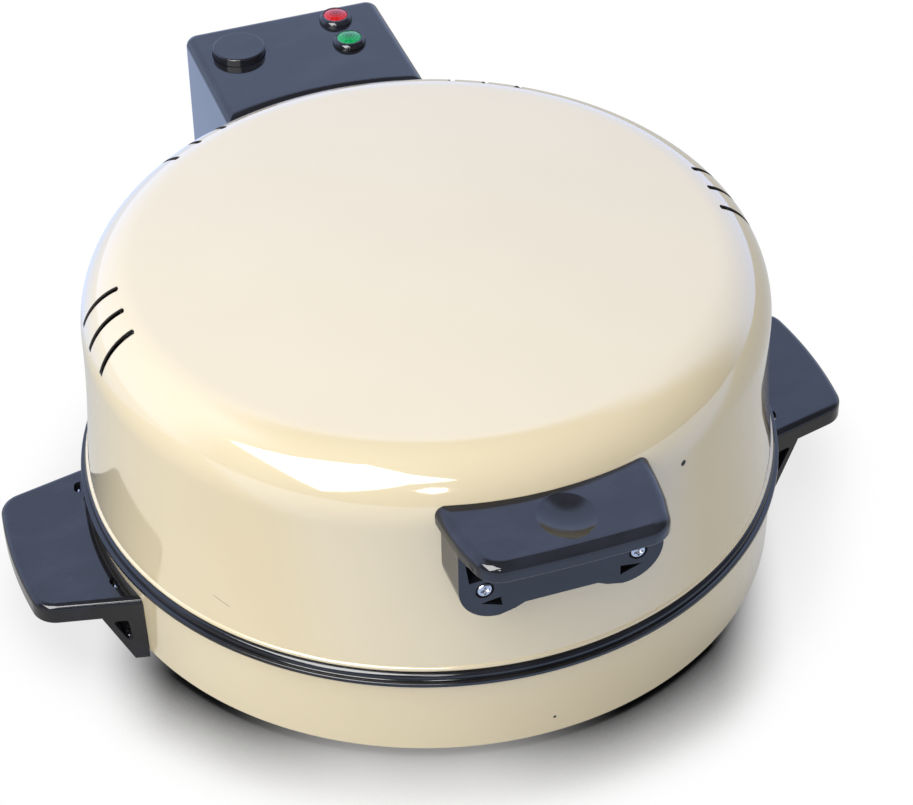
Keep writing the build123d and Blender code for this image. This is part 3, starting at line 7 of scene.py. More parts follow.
import bmesh
import bpy
from bpy.props import FloatProperty, FloatVectorProperty, IntProperty, PointerProperty
from mathutils import Matrix, Vector

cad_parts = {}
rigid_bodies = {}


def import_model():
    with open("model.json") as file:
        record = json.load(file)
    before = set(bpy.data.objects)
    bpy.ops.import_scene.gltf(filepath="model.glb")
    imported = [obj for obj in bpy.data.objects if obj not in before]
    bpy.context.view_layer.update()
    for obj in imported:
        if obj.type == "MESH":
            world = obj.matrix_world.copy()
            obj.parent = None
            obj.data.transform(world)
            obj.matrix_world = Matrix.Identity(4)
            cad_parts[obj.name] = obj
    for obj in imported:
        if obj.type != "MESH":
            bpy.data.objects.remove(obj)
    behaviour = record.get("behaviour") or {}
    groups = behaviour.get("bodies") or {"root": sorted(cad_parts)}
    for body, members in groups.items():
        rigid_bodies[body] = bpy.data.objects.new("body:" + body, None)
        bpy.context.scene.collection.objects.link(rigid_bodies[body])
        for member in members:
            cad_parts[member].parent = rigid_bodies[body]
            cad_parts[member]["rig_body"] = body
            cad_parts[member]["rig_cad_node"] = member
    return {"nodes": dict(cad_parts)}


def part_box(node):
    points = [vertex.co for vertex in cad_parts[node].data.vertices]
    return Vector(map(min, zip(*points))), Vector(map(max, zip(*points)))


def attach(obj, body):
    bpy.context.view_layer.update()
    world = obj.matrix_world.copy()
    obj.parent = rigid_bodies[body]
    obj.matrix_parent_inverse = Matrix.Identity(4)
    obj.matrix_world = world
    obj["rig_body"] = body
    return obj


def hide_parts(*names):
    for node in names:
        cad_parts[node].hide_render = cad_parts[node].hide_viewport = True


bl_info = {
    "name": "Flatbread Maker Dressing",
    "version": (1, 0, 0),
    "blender": (4, 5, 0),
    "location": "3D View > Sidebar > Flatbread Maker",
    "description": "Gives the packed flatbread maker its enamel, bakelite, metal and studio light",
    "category": "Object",
}

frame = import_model()
MM = 0.001

# Measures that come with the frame: the body's axis, the lid's reach and the height of its lower edge
LID_LOW, LID_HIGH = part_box("lid_shell")
PAN_LOW, PAN_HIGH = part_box("base_pan")
AXIS = Vector((0.0, round((LID_LOW.y + LID_HIGH.y) / 2, 6), 0.0))
HEM_REACH = round((LID_HIGH.x - LID_LOW.x) / 2 / MM, 3)
LID_LINE = round(LID_LOW.z / MM, 3)

# Shading angles in degrees, and the steps of a turned piece
ENAMEL_ANGLE = 38
CAD_ANGLE = 30
TURN_STEPS = 216

# Middle of each group of three steam slots, in degrees round the axis
SLOT_GROUPS = (178.0, 121.2, 58.8, 0.0)

# Marks in the enamel, in millimetres from the axis at the lid's lower edge. A chip ends with its radius.
CHIPS = ((71.65, -152.3, 79.41, 1.7), (1.69, -173.68, -40.82, 0.9))
SCRATCH_ENDS = ((-140.5, -98, 18.15), (-134.8, -106.1, 15.8))
SCRATCH_HALF_WIDTH = 0.22

# Key light: its direction, its distance and its sides in metres
KEY_WAY = (-0.5, -0.28, 0.82)
KEY_DISTANCE = 1.3
KEY_SIDES = (0.88, 1.15)

# The soft box as polished faces mirror it: the spot on the shoulder that shows it, its direction from there,
# its shift sideways, upward and away in millimetres, its turn in degrees, its panes' outlines in metres
CARD_TARGET = (-80, -125, 108)
CARD_WAY = (-0.594, -0.432, 0.679)
CARD_SHIFT = (79, -8, 1300)
CARD_TURN = 32
SOFTBOX_OUTLINE = (
    (-0.68, 0.43), (-0.25, 0.38), (0.25, 0.43), (0.46, 0.06), (0.77, -0.26),
    (0.4, -0.31), (0.13, -0.51), (-0.15, -0.63), (-0.43, -0.72), (-0.53, -0.09),
)
SIDE_WINDOW = ((0.39, -0.63), (0.54, -0.53), (0.68, -0.6), (0.66, -0.8), (0.51, -0.83))

# Camera: its directions, its shift right, up and back in millimetres, its roll in degrees, its lens
CAMERA_BACK = (-0.2507, -0.7284, 0.6377)
CAMERA_RIGHT = (0.9456, -0.3254, 0.0)
CAMERA_SHIFT = (14.031, 13.585, 1436.5)
CAMERA_ROLL = -0.95
LENS = 111.49
SENSOR_WIDTH = 36


# Numbers that a user would change


class LidSizes(bpy.types.PropertyGroup):
    """Outline of the enamelled dome, from the body's axis and the worktop."""

    rim_radius: FloatProperty(
        name="Rim radius", description="Outside radius above the hem", unit="LENGTH",
        default=(HEM_REACH - 1.0) * MM,
    )
    wall_radius: FloatProperty(
        name="Wall radius", description="Outside radius at the wall's top", default=168.3 * MM, unit="LENGTH"
    )
    wall_top: FloatProperty(
        name="Wall top", description="Height where the shoulder starts", default=140.0 * MM, unit="LENGTH"
    )
    shoulder_run: FloatProperty(
        name="Shoulder run", description="Width of the rounded shoulder", default=28.3 * MM, unit="LENGTH"
    )
    shoulder_rise: FloatProperty(
        name="Shoulder rise", description="Height of the rounded shoulder", default=32.0 * MM, unit="LENGTH"
    )
    crown_angle: FloatProperty(
        name="Crown angle", description="Slope of the top at the shoulder", subtype="ANGLE",
        default=math.radians(1.6),
    )
    hem_radius: FloatProperty(
        name="Hem radius", description="Radius of the rolled edge", default=1.5 * MM, unit="LENGTH"
    )
    sheet: FloatProperty(name="Sheet", description="Thickness of the steel", default=1.0 * MM, unit="LENGTH")
    slot_width: FloatProperty(
        name="Slot width", description="Width of a steam slot", default=3.4 * MM, unit="LENGTH"
    )
    slot_low: FloatProperty(
        name="Slot's low end", description="Where a slot starts on the shoulder", subtype="ANGLE",
        default=math.radians(21),
    )
    slot_high: FloatProperty(
        name="Slot's high end", description="Where a slot ends on the shoulder", subtype="ANGLE",
        default=math.radians(73),
    )
    slot_pitch: FloatProperty(
        name="Slot pitch", description="Turn between the slots of a group", subtype="ANGLE",
        default=math.radians(6.7),
    )


class PanSizes(bpy.types.PropertyGroup):
    """Outline of the enamelled base pan."""

    bottom_radius: FloatProperty(
        name="Bottom radius", description="Outside radius above the corner", default=173.2 * MM, unit="LENGTH"
    )
    top_radius: FloatProperty(
        name="Top radius", description="Outside radius at the hem", default=174.2 * MM, unit="LENGTH"
    )
    corner: FloatProperty(
        name="Corner", description="Radius between floor and wall", default=2.0 * MM, unit="LENGTH"
    )
    hem_radius: FloatProperty(
        name="Hem radius", description="Radius of the rolled edge", default=1.2 * MM, unit="LENGTH"
    )
    sheet: FloatProperty(name="Sheet", description="Thickness of the steel", default=1.2 * MM, unit="LENGTH")
    vents: IntProperty(name="Vents", description="Number of air slots in the floor", default=10)


class Colours(bpy.types.PropertyGroup):
    """Main colours of the finishes."""

    enamel: FloatVectorProperty(
        name="Enamel", description="Cream enamel of lid and pan", subtype="COLOR", default=(0.76, 0.655, 0.44)
    )
    bakelite: FloatVectorProperty(
        name="Bakelite", description="Black moulding of handles and box", subtype="COLOR",
        default=(0.011, 0.011, 0.013),
    )
    red: FloatVectorProperty(
        name="Red lamp", description="Red lens", subtype="COLOR", default=(0.52, 0.008, 0.006)
    )
    green: FloatVectorProperty(
        name="Green lamp", description="Green lens", subtype="COLOR", default=(0.0, 0.3, 0.075)
    )


class Studio(bpy.types.PropertyGroup):
    """Light of the scene."""

    key_power: FloatProperty(
        name="Key power", description="Soft box at the front left", subtype="POWER", default=10.6
    )
    room_back: FloatProperty(name="Room behind", description="Level behind the object", default=0.25)
    room_front: FloatProperty(name="Room in front", description="Level before the object", default=0.63)
    room_left: FloatProperty(name="Room at the left", description="What the left side adds", default=0.62)
    glint: FloatProperty(name="Glint", description="Brightness of the soft box in gloss", default=15.0)
    floor: FloatProperty(
        name="Floor", description="Lightness of the floor", subtype="FACTOR", min=0.0, max=1.0, default=0.45
    )
    floor_glow: FloatProperty(
        name="Floor glow", description="What the camera sees added to the floor", default=0.45
    )


def measures(group):
    """The numbers of a group of sizes, its lengths in millimetres and its angles in degrees."""
    values = getattr(bpy.context.scene, group)
    found = {}
    for key in values.__annotations__:
        value = getattr(values, key)
        unit = values.bl_rna.properties[key].unit
        if unit == "LENGTH":
            value = round(value / MM, 4)
        elif unit == "ROTATION":
            value = round(math.degrees(value), 4)
        found[key] = value
    return SimpleNamespace(**found)


# Shader sums written as expressions


class Term:
    """A node's output that can stand in a sum, which then adds its own Math nodes."""

    def __init__(self, finish, socket):
        self.finish = finish
        self.socket = socket

    def __add__(self, other):
        return self.finish.math("ADD", self, other)

    def __sub__(self, other):
        return self.finish.math("SUBTRACT", self, other)

    def __rsub__(self, other):
        return self.finish.math("SUBTRACT", other, self)

    def __mul__(self, other):
        return self.finish.math("MULTIPLY", self, other)

    def __lt__(self, other):
        return self.finish.math("LESS_THAN", self, other)

    def __gt__(self, other):
        return self.finish.math("GREATER_THAN", self, other)

    def __abs__(self):
        return self.finish.math("ABSOLUTE", self)

    __radd__ = __add__
    __rmul__ = __mul__

    def rise(self, low, high):
        """Goes smoothly from 0 at low to 1 at high."""
        settings = {"interpolation_type": "SMOOTHSTEP"}
        return self.finish.add("ShaderNodeMapRange", settings, {0: self, 1: low, 2: high, 3: 0.0, 4: 1.0})


class Finish:
    """A procedural material with one main shader."""

    def __init__(self, name, tree=None):
        self.material = None
        if tree is None:
            self.material = bpy.data.materials.new(name)
            self.material.use_nodes = True
            tree = self.material.node_tree
        self.tree = tree
        self.main = tree.nodes.get("Principled BSDF")
        self.coordinates = None

    def add(self, kind, settings=None, values=None, output=0):
        """Adds a node, sets it up, then feeds its sockets."""
        node = self.tree.nodes.new(kind)
        for key, value in (settings or {}).items():
            setattr(node, key, value)
        for key, value in (values or {}).items():
            self.feed(node.inputs[key], value)
        return Term(self, node.outputs[output])

    def feed(self, socket, value):
        """Links a term to a socket, or sets the socket to a plain value."""
        if isinstance(value, Term):
            self.tree.links.new(value.socket, socket)
        elif socket.type == "RGBA" and len(value) == 3:
            socket.default_value = (*value, 1.0)
        else:
            socket.default_value = value

    def surface(self, **values):
        """Feeds the main shader: base_color becomes Base Color, and so on."""
        for key, value in values.items():
            name = " ".join(word.upper() if word == "ior" else word.capitalize() for word in key.split("_"))
            self.feed(self.main.inputs[name], value)

    def output(self, shader):
        self.feed(self.tree.nodes["Material Output"].inputs["Surface"], shader)

    def math(self, operation, first, second=0.0):
        return self.add("ShaderNodeMath", {"operation": operation}, {0: first, 1: second})

    def vector_math(self, operation, first, second=(0, 0, 0), output=0):
        return self.add("ShaderNodeVectorMath", {"operation": operation}, {0: first, 1: second}, output)

    def place(self):
        """Coordinates that stay with the object."""
        if self.coordinates is None:
            self.coordinates = self.add("ShaderNodeTexCoord", output="Object")
        return self.coordinates

    def stretched(self, scale=(1, 1, 1), centre=(0, 0, 0)):
        """The coordinates moved so that centre is at zero, then scaled."""
        return self.vector_math("MULTIPLY", self.vector_math("SUBTRACT", self.place(), centre), scale)

    def light_path(self, ray):
        return self.add("ShaderNodeLightPath", output=ray)

    def part(self, place, axis):
        return self.add("ShaderNodeSeparateXYZ", values={0: place}, output="XYZ".index(axis))

    def length(self, place):
        return self.vector_math("LENGTH", place, output=1)

    def distance(self, point):
        return self.vector_math("DISTANCE", self.place(), tuple(point), output=1)

    def along(self, place, way):
        """How far a place lies along a direction."""
        return self.vector_math("DOT_PRODUCT", place, way, output=1)

    def axis_distance(self):
        """Distance from the body's axis."""
        return self.length(self.stretched((1, 1, 0), tuple(AXIS)))

    def noise(self, scale, detail=2.0, roughness=0.5, place=None):
        values = {"Vector": place or self.place(), "Scale": scale, "Detail": detail, "Roughness": roughness}
        return self.add("ShaderNodeTexNoise", values=values)

    def cells(self, scale):
        """Distance from the middle of the nearest of many scattered cells."""
        values = {"Vector": self.place(), "Scale": scale}
        return self.add("ShaderNodeTexVoronoi", values=values, output="Distance")

    def mix(self, mask, first, second):
        """Colour that goes from first to second as mask goes from 0 to 1."""
        return self.add("ShaderNodeMix", {"data_type": "RGBA"}, {0: mask, 6: first, 7: second}, output=2)

    def emission(self, colour, strength):
        return self.add("ShaderNodeEmission", values={"Color": colour, "Strength": strength})

    def bump(self, height, distance, strength):
        values = {"Height": height, "Distance": distance, "Strength": strength}
        self.surface(normal=self.add("ShaderNodeBump", values=values))


def spot(x, y, z):
    """A place that was measured in millimetres from the body's axis at the lid's lower edge."""
    return Vector((x, y, z + LID_LINE)) * MM + AXIS


def shade(colour, factor):
    return tuple(c * factor for c in colour)


# Finishes


def slot_masks(f):
    """Masks of the browned rim round each steam slot and of the painted shade on the cut faces in it."""
    brown_reach, shade_in, shade_out = 0.5 * MM, 0.02 * MM, 0.12 * MM
    s = measures("lid_sizes")
    flat = f.stretched(centre=tuple(AXIS))
    x, y, z = (f.part(flat, axis) for axis in "XYZ")
    nearest = None
    for turn in slot_angles():
        a = math.radians(turn)
        along = x * math.cos(a) + y * math.sin(a)
        off = abs(y * math.cos(a) - x * math.sin(a)) + (along < 0.0)
        nearest = off if nearest is None else f.math("MINIMUM", nearest, off)
    half = s.slot_width / 2 * MM
    low = (s.wall_top + s.shoulder_rise * math.sin(math.radians(s.slot_low))) * MM
    high = (s.wall_top + s.shoulder_rise * math.sin(math.radians(s.slot_high))) * MM
    level = z.rise(low - 1.2 * MM, low - 0.4 * MM) * (1.0 - z.rise(high - 0.3 * MM, high - 0.05 * MM))
    edge = (1.0 - nearest.rise(half, half + brown_reach)) * level
    # Painted shade: the slot's cut faces, and a hair round them, are marked to go near black
    painted_slot_shade = (1.0 - nearest.rise(half - shade_in, half + shade_out)) * level
    return edge, painted_slot_shade


def scratch_mask(f):
    """Mask of the one thin scratch in the lid's wall."""
    start, end = (spot(*point) for point in SCRATCH_ENDS)
    middle = (start + end) / 2
    run = f.along(f.stretched(centre=tuple(middle)), tuple((end - start).normalized()))
    reach = f.distance(middle)
    off_squared = reach * reach - run * run
    return (abs(run) < (end - start).length / 2) * (off_squared < (SCRATCH_HALF_WIDTH * MM) ** 2)


def enamel_finish():
    """Baked cream enamel: faint clouding, sparse brown specks, two chips, a scratch, browned slot rims and
    painted shade on the slots' cut faces.
    """
    brown, bare_steel, scratched = (0.28, 0.17, 0.09), (0.012, 0.01, 0.01), (0.12, 0.08, 0.06)
    browned, slot_shade_colour = (0.16, 0.09, 0.04), (0.016, 0.014, 0.012)
    speck_size, speck_rarity = 0.028, 0.66
    cream = tuple(bpy.context.scene.maker_colours.enamel)
    warm = shade((cream[0], cream[1] * 0.99, cream[2] * 0.97), 0.965)
    f = Finish("cream_enamel")
    cloud = f.noise(14.0, 3.0)
    colour = f.mix(cloud.rise(0.35, 0.75) * 0.5, cream, warm)
    speck = (f.cells(55.0) < speck_size) * (f.noise(23.0, 1.0) > speck_rarity)
    colour = f.mix(speck * 0.55, colour, brown)
    bare = None
    for x, y, z, radius in CHIPS:
        chip = f.distance(spot(x, y, z)).rise(radius * 1.15 * MM, radius * 0.75 * MM)
        colour = f.mix(chip, colour, bare_steel)
        bare = chip if bare is None else bare + chip
    colour = f.mix(scratch_mask(f) * 0.6, colour, scratched)
    edge, painted_slot_shade = slot_masks(f)
    colour = f.mix(edge * 0.75, colour, browned)
    # Painted shade: the slots' cut faces turn near black
    colour = f.mix(painted_slot_shade, colour, slot_shade_colour)
    dull = painted_slot_shade + bare
    grime = f.noise(60.0, 4.0)
    f.surface(
        base_color=colour, roughness=0.06 + grime * 0.06 + dull * 0.6, ior=1.5,
        coat_weight=1.0 - dull, coat_ior=1.6, coat_roughness=0.03,
    )
    peel = f.noise(210.0)
    wave = f.noise(38.0, 1.0)
    f.bump(peel * 0.35 + wave, 0.00003, 0.5)
    return f.material


def bakelite_finish():
    """Black bakelite: polished, with faint bluish swirls of the press."""
    black = tuple(bpy.context.scene.maker_colours.bakelite)
    bluish = shade((black[0], black[1] * 1.05, black[2] * 1.25), 1.7)
    f = Finish("black_bakelite")
    swirl = f.noise(32.0, 4.0, 0.6, f.stretched((1.0, 1.6, 0.8)))
    grain = f.noise(420.0)
    colour = f.mix(swirl.rise(0.4, 0.7), black, bluish)
    f.surface(base_color=colour, roughness=0.05 + swirl * 0.04 + grain * 0.02, ior=1.46)
    f.bump(grain * 0.2 + swirl * 0.2, 0.00001, 0.2)
    return f.material


def ring_finish():
    """Black enamel of the ring, deeper than the bakelite."""
    f = Finish("black_ring_enamel")
    cloud = f.noise(45.0, 3.0)
    colour = f.mix(cloud.rise(0.3, 0.8), (0.006, 0.006, 0.007), (0.014, 0.014, 0.016))
    f.surface(base_color=colour, roughness=0.08 + cloud * 0.06, ior=1.5)
    f.bump(f.noise(160.0), 0.00002, 0.3)
    return f.material


def matt_black_finish():
    """Matt moulded plastic with a fine spark texture."""
    f = Finish("matt_black")
    grain = f.noise(900.0, 3.0, 0.65)
    cloud = f.noise(40.0)
    colour = f.mix(cloud, (0.018, 0.018, 0.02), (0.034, 0.034, 0.038))
    f.surface(base_color=colour, roughness=0.42 + grain * 0.2)
    f.bump(grain, 0.00006, 0.6)
    return f.material


def coating_finish():
    """Dark non-stick coating over a turned plate: fine rings, a fleck here and there, wear at the rim."""
    rim_start, rim_end, rings_per_metre = 0.1565, 0.1578, 5200.0
    f = Finish("dark_coating")
    radius = f.axis_distance()
    ring = f.math("SINE", radius * rings_per_metre)
    fleck = f.noise(1300.0)
    cloud = f.noise(18.0, 4.0)
    colour = f.mix(cloud.rise(0.3, 0.75), (0.048, 0.046, 0.044), (0.06, 0.057, 0.054))
    colour = f.mix((fleck > 0.71) * 0.5, colour, (0.2, 0.2, 0.2))
    colour = f.mix(radius.rise(rim_start, rim_end) * 0.6, colour, (0.16, 0.15, 0.14))
    f.surface(base_color=colour, roughness=0.36 + cloud * 0.16)
    f.bump(ring * 0.3 + fleck * 0.4, 0.00004, 0.5)
    return f.material


def heater_finish():
    """Heater tube: oxidised steel, browner and bluer in places."""
    f = Finish("heater_steel")
    cloud = f.noise(26.0, 4.0, 0.6)
    blot = f.noise(160.0, 3.0)
    colour = f.mix(cloud.rise(0.35, 0.7), (0.16, 0.135, 0.115), (0.1, 0.1, 0.115))
    colour = f.mix(blot.rise(0.55, 0.8) * 0.6, colour, (0.27, 0.21, 0.16))
    f.surface(base_color=colour, roughness=0.38 + blot * 0.3, metallic=0.75)
    f.bump(blot, 0.00004, 0.4)
    return f.material


def metal_finish(name, colour, rough, grain, stretch):
    """Bare metal with a grain that runs along one way and a few smudges."""
    f = Finish(name)
    lines = f.noise(grain, 3.0, 0.6, f.stretched(stretch))
    smudge = f.noise(30.0, 3.0)
    tone = f.mix(smudge.rise(0.4, 0.8) * 0.5, colour, shade(colour, 0.8))
    f.surface(base_color=tone, metallic=1.0, roughness=rough + lines * 0.14 + smudge * 0.06)
    f.bump(lines, 0.00002, 0.4)
    return f.material


def ceramic_finish():
    """Steatite beads: off-white, matt, with pin holes and a little soot."""
    f = Finish("ceramic")
    soot = f.noise(90.0, 4.0)
    colour = f.mix(soot.rise(0.45, 0.8) * 0.5, (0.72, 0.69, 0.62), (0.42, 0.38, 0.33))
    f.surface(base_color=colour, roughness=0.62 + soot * 0.15)
    f.bump(f.cells(900.0).rise(0.0, 0.3), 0.00004, 0.5)
    return f.material


def white_plastic_finish():
    """Moulded connector plastic, slightly yellowed."""
    f = Finish("white_plastic")
    cloud = f.noise(50.0, 3.0)
    colour = f.mix(cloud, (0.7, 0.68, 0.63), (0.62, 0.58, 0.5))
    f.surface(base_color=colour, roughness=0.38 + cloud * 0.14)
    f.bump(f.noise(700.0), 0.00003, 0.4)
    return f.material


def sleeve_finish():
    """Braided sleeve: two families of threads crossing at a slant."""
    threads_per_metre = 9000.0
    f = Finish("wire_sleeve")
    x, y, z = (f.part(f.place(), axis) for axis in "XYZ")
    one = f.math("SINE", (x + y + z) * threads_per_metre)
    two = f.math("SINE", (x - y + z) * threads_per_metre)
    weave = (one * two + 1.0) * 0.5
    colour = f.mix(weave, (0.5, 0.49, 0.45), (0.74, 0.73, 0.69))
    f.surface(base_color=colour, roughness=0.6 + weave * 0.2)
    f.bump(weave, 0.00012, 0.7)
    return f.material


def rubber_finish():
    """Soft black rubber with dust in its pores."""
    f = Finish("foot_rubber")
    pores = f.noise(1100.0, 3.0)
    dust = f.noise(120.0, 4.0)
    colour = f.mix(dust.rise(0.55, 0.85) * 0.6, (0.022, 0.022, 0.022), (0.12, 0.115, 0.1))
    f.surface(base_color=colour, roughness=0.7 + pores * 0.2)
    f.bump(pores, 0.00008, 0.5)
    return f.material


def lens_finish(name, colour, centre):
    """Pressed lens: lighter towards its rim, with painted shade darkening its middle over the bulb, and prisms
    inside that get a painted sparkle.
    """
    flutes, rings_per_metre = 12.0, 3600.0
    dark, bright = shade(colour, 0.45), tuple(min(1.0, c * 1.5 + 0.02) for c in colour)
    f = Finish(name)
    flat = f.stretched((1, 1, 0), centre)
    radius = f.length(flat)
    turn = f.math("ARCTAN2", f.part(flat, "Y"), f.part(flat, "X"))
    flute = f.math("SINE", turn * flutes) * radius.rise(0.0012, 0.004)
    ring = f.math("SINE", radius * rings_per_metre)
    prism = (flute + ring + 2.0) * 0.25
    # Painted shade: the lens goes darker towards its middle, over the bulb
    inner = f.mix(radius.rise(0.0008, 0.0048), dark, colour)
    # Painted sparkle: the prism pattern lightens the colour
    tone = f.mix(prism.rise(0.35, 0.9) * 0.5, inner, bright)
    f.surface(
        base_color=tone, roughness=0.08 + prism * 0.1, specular_ior_level=0.25,
        coat_weight=0.25, coat_roughness=0.04,
    )
    f.bump(prism, 0.0002, 0.35)
    return f.material


def glass_finish():
    """Frosted bulb glass."""
    f = Finish("bulb_glass")
    frost = f.noise(1500.0)
    colour = f.mix(frost, (0.8, 0.8, 0.76), (0.95, 0.95, 0.92))
    f.surface(base_color=colour, roughness=0.15 + frost * 0.2, transmission_weight=0.5)
    return f.material


FINISHES = {
    "cream_enamel": enamel_finish,
    "black_bakelite": bakelite_finish,
    "black_ring_enamel": ring_finish,
    "matt_black": matt_black_finish,
    "dark_coating": coating_finish,
    "heater_steel": heater_finish,
    "ceramic": ceramic_finish,
    "white_plastic": white_plastic_finish,
    "wire_sleeve": sleeve_finish,
    "foot_rubber": rubber_finish,
    "bulb_glass": glass_finish,
}
# Colour, roughness, scale of the grain and its stretch
METALS = {
    "plain_steel": ((0.52, 0.51, 0.49), 0.26, 300.0, (1, 6, 6)),
    "bright_sheet": ((0.72, 0.71, 0.69), 0.2, 240.0, (1, 9, 1)),
    "nickel_screw": ((0.5, 0.5, 0.52), 0.12, 600.0, (1, 1, 1)),
}
MADE = {}


def finish(name):
    """The finish of that name, made the first time that it is asked for."""
    if name not in MADE:
        MADE[name] = metal_finish(name, *METALS[name]) if name in METALS else FINISHES[name]()
    return MADE[name]


# Shapes


def clear_selection():
    if bpy.context.object and bpy.context.object.mode != "OBJECT":
        bpy.ops.object.mode_set(mode="OBJECT")
    bpy.ops.object.select_all(action="DESELECT")


def take(piece):
    """Makes one object the only selected and active one."""
    clear_selection()
    piece.hide_set(False)
    piece.select_set(True)
    bpy.context.view_layer.objects.active = piece


def smooth(piece, angle):
    """Shades a piece smooth, except over edges sharper than an angle in degrees."""
    take(piece)
    bpy.ops.object.shade_smooth_by_angle(angle=math.radians(angle))


def arc(start, middle, end, count):
    """Points on the arc through three points, without its start."""
    (ax, ay), (bx, by), (cx, cy) = start, middle, end
    d = 2 * (ax * (by - cy) + bx * (cy - ay) + cx * (ay - by))
    a, b, c = ax * ax + ay * ay, bx * bx + by * by, cx * cx + cy * cy
    ux = (a * (by - cy) + b * (cy - ay) + c * (ay - by)) / d
    uy = (a * (cx - bx) + b * (ax - cx) + c * (bx - ax)) / d
    radius = math.hypot(ax - ux, ay - uy)
    first = math.atan2(ay - uy, ax - ux)
    half = math.remainder(math.atan2(by - uy, bx - ux) - first, math.tau)
    whole = (math.atan2(cy - uy, cx - ux) - first) % math.tau
    if half < 0:
        whole -= math.tau
    angles = [first + whole * k / count for k in range(1, count + 1)]
    return [(ux + radius * math.cos(a), uy + radius * math.sin(a)) for a in angles]


def round_points(centre, radius, start, end, count):
    """Points on a circle from one angle to another, in degrees."""
    angles = [math.radians(start + (end - start) * k / count) for k in range(count + 1)]
    return [(centre[0] + radius * math.cos(a), centre[1] + radius * math.sin(a)) for a in angles]


def row(point):
    """A place in the row frame from a radius and a height in millimetres."""
    return Vector((AXIS.x + point[0] * MM, AXIS.y, point[1] * MM))


def draw(name, points):
    """A line of vertices, drawn by extruding one vertex from place to place. The piece stays in edit mode."""
    clear_selection()
    bpy.ops.mesh.primitive_plane_add(size=MM, location=points[0])
    piece = bpy.context.object
    piece.name = name
    piece.data.name = name
    bpy.ops.object.transform_apply(location=True, rotation=True, scale=True)
    bpy.ops.object.mode_set(mode="EDIT")
    bpy.ops.mesh.select_all(action="SELECT")
    bpy.ops.mesh.merge(type="CENTER")
    for here, there in zip(points, points[1:]):
        bpy.ops.mesh.extrude_vertices_move(TRANSFORM_OT_translate={"value": there - here})
    bpy.ops.mesh.select_all(action="SELECT")
    return piece


def lathe(name, outline, angle):
    """A turned piece: an outline of radius and height in millimetres, spun round the body's axis."""
    piece = draw(name, [row(point) for point in outline])
    bpy.ops.mesh.spin(steps=TURN_STEPS, angle=math.tau, center=AXIS, axis=(0, 0, 1))
    bpy.ops.mesh.select_all(action="SELECT")
    bpy.ops.mesh.remove_doubles(threshold=1e-6)
    bpy.ops.mesh.normals_make_consistent(inside=False)
    bpy.ops.object.mode_set(mode="OBJECT")
    smooth(piece, angle)
    return piece


def cut(piece, cutter):
    """Takes the cutter out of a piece and removes it."""
    take(piece)
    modifier = piece.modifiers.new("Cut", "BOOLEAN")
    modifier.operation = "DIFFERENCE"
    modifier.solver = "EXACT"
    modifier.object = cutter
    bpy.ops.object.modifier_apply(modifier=modifier.name)
    bpy.data.objects.remove(cutter, do_unlink=True)


def turned_copy(piece, degrees):
    """A copy with its own mesh, turned round the body's axis."""
    take(piece)
    bpy.ops.object.duplicate(linked=False)
    copy = bpy.context.object
    turn = Matrix.Rotation(math.radians(degrees), 4, "Z")
    copy.data.transform(Matrix.Translation(AXIS) @ turn @ Matrix.Translation(-AXIS))
    return copy


def merge(pieces, name):
    """Joins several objects into one mesh."""
    take(pieces[0])
    for piece in pieces:
        piece.select_set(True)
    bpy.ops.object.join()
    joined = bpy.context.object
    joined.name = name
    joined.data.name = name
    return joined


def turned_cutters(cutter, angles, name):
    """One mesh of copies of a cutter, turned to each angle. The first cutter goes."""
    copies = [turned_copy(cutter, angle) for angle in angles]
    bpy.data.objects.remove(cutter, do_unlink=True)
    return merge(copies, name)


def hand_over(piece, material, body, node):
    """Gives a finished piece its material, slot and body, in the place of a CAD node."""
    piece.data.materials.clear()
    piece.data.materials.append(finish(material))
    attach(piece, body)
    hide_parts(node)


def refine(material, *nodes):
    """Copies CAD nodes, merges their loose triangles and keeps flat faces flat beside their rounded edges."""
    for node in nodes:
        source = frame["nodes"][node]
        take(source)
        bpy.ops.object.duplicate(linked=False)
        piece = bpy.context.object
        piece.name = node + "_dressed"
        piece.data.name = piece.name
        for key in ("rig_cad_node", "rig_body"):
            if key in piece:
                del piece[key]
        bpy.ops.object.parent_clear(type="CLEAR_KEEP_TRANSFORM")
        bpy.ops.object.mode_set(mode="EDIT")
        bpy.ops.mesh.select_all(action="SELECT")
        bpy.ops.mesh.remove_doubles(threshold=2e-6)
        bpy.ops.mesh.dissolve_degenerate(threshold=1e-7)
        if material == "black_bakelite":
            bpy.ops.mesh.dissolve_limited(angle_limit=math.radians(0.2))
        bpy.ops.object.mode_set(mode="OBJECT")
        smooth(piece, CAD_ANGLE)
        weighted = piece.modifiers.new("Weighted", "WEIGHTED_NORMAL")
        weighted.keep_sharp = True
        weighted.weight = 80
        bpy.ops.object.modifier_apply(modifier=weighted.name)
        hand_over(piece, material, source["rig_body"], node)


def repaint(material, *nodes):
    """Gives CAD nodes that keep their shape a better finish."""
    for node in nodes:
        data = frame["nodes"][node].data
        if not data.materials:
            data.materials.append(finish(material))
        for k in range(len(data.materials)):
            data.materials[k] = finish(material)


# Enamelled bodies


def slot_angles():
    """Turn of each steam slot round the axis, in degrees."""
    pitch = measures("lid_sizes").slot_pitch
    return [middle + k * pitch for middle in SLOT_GROUPS for k in (-1, 0, 1)]


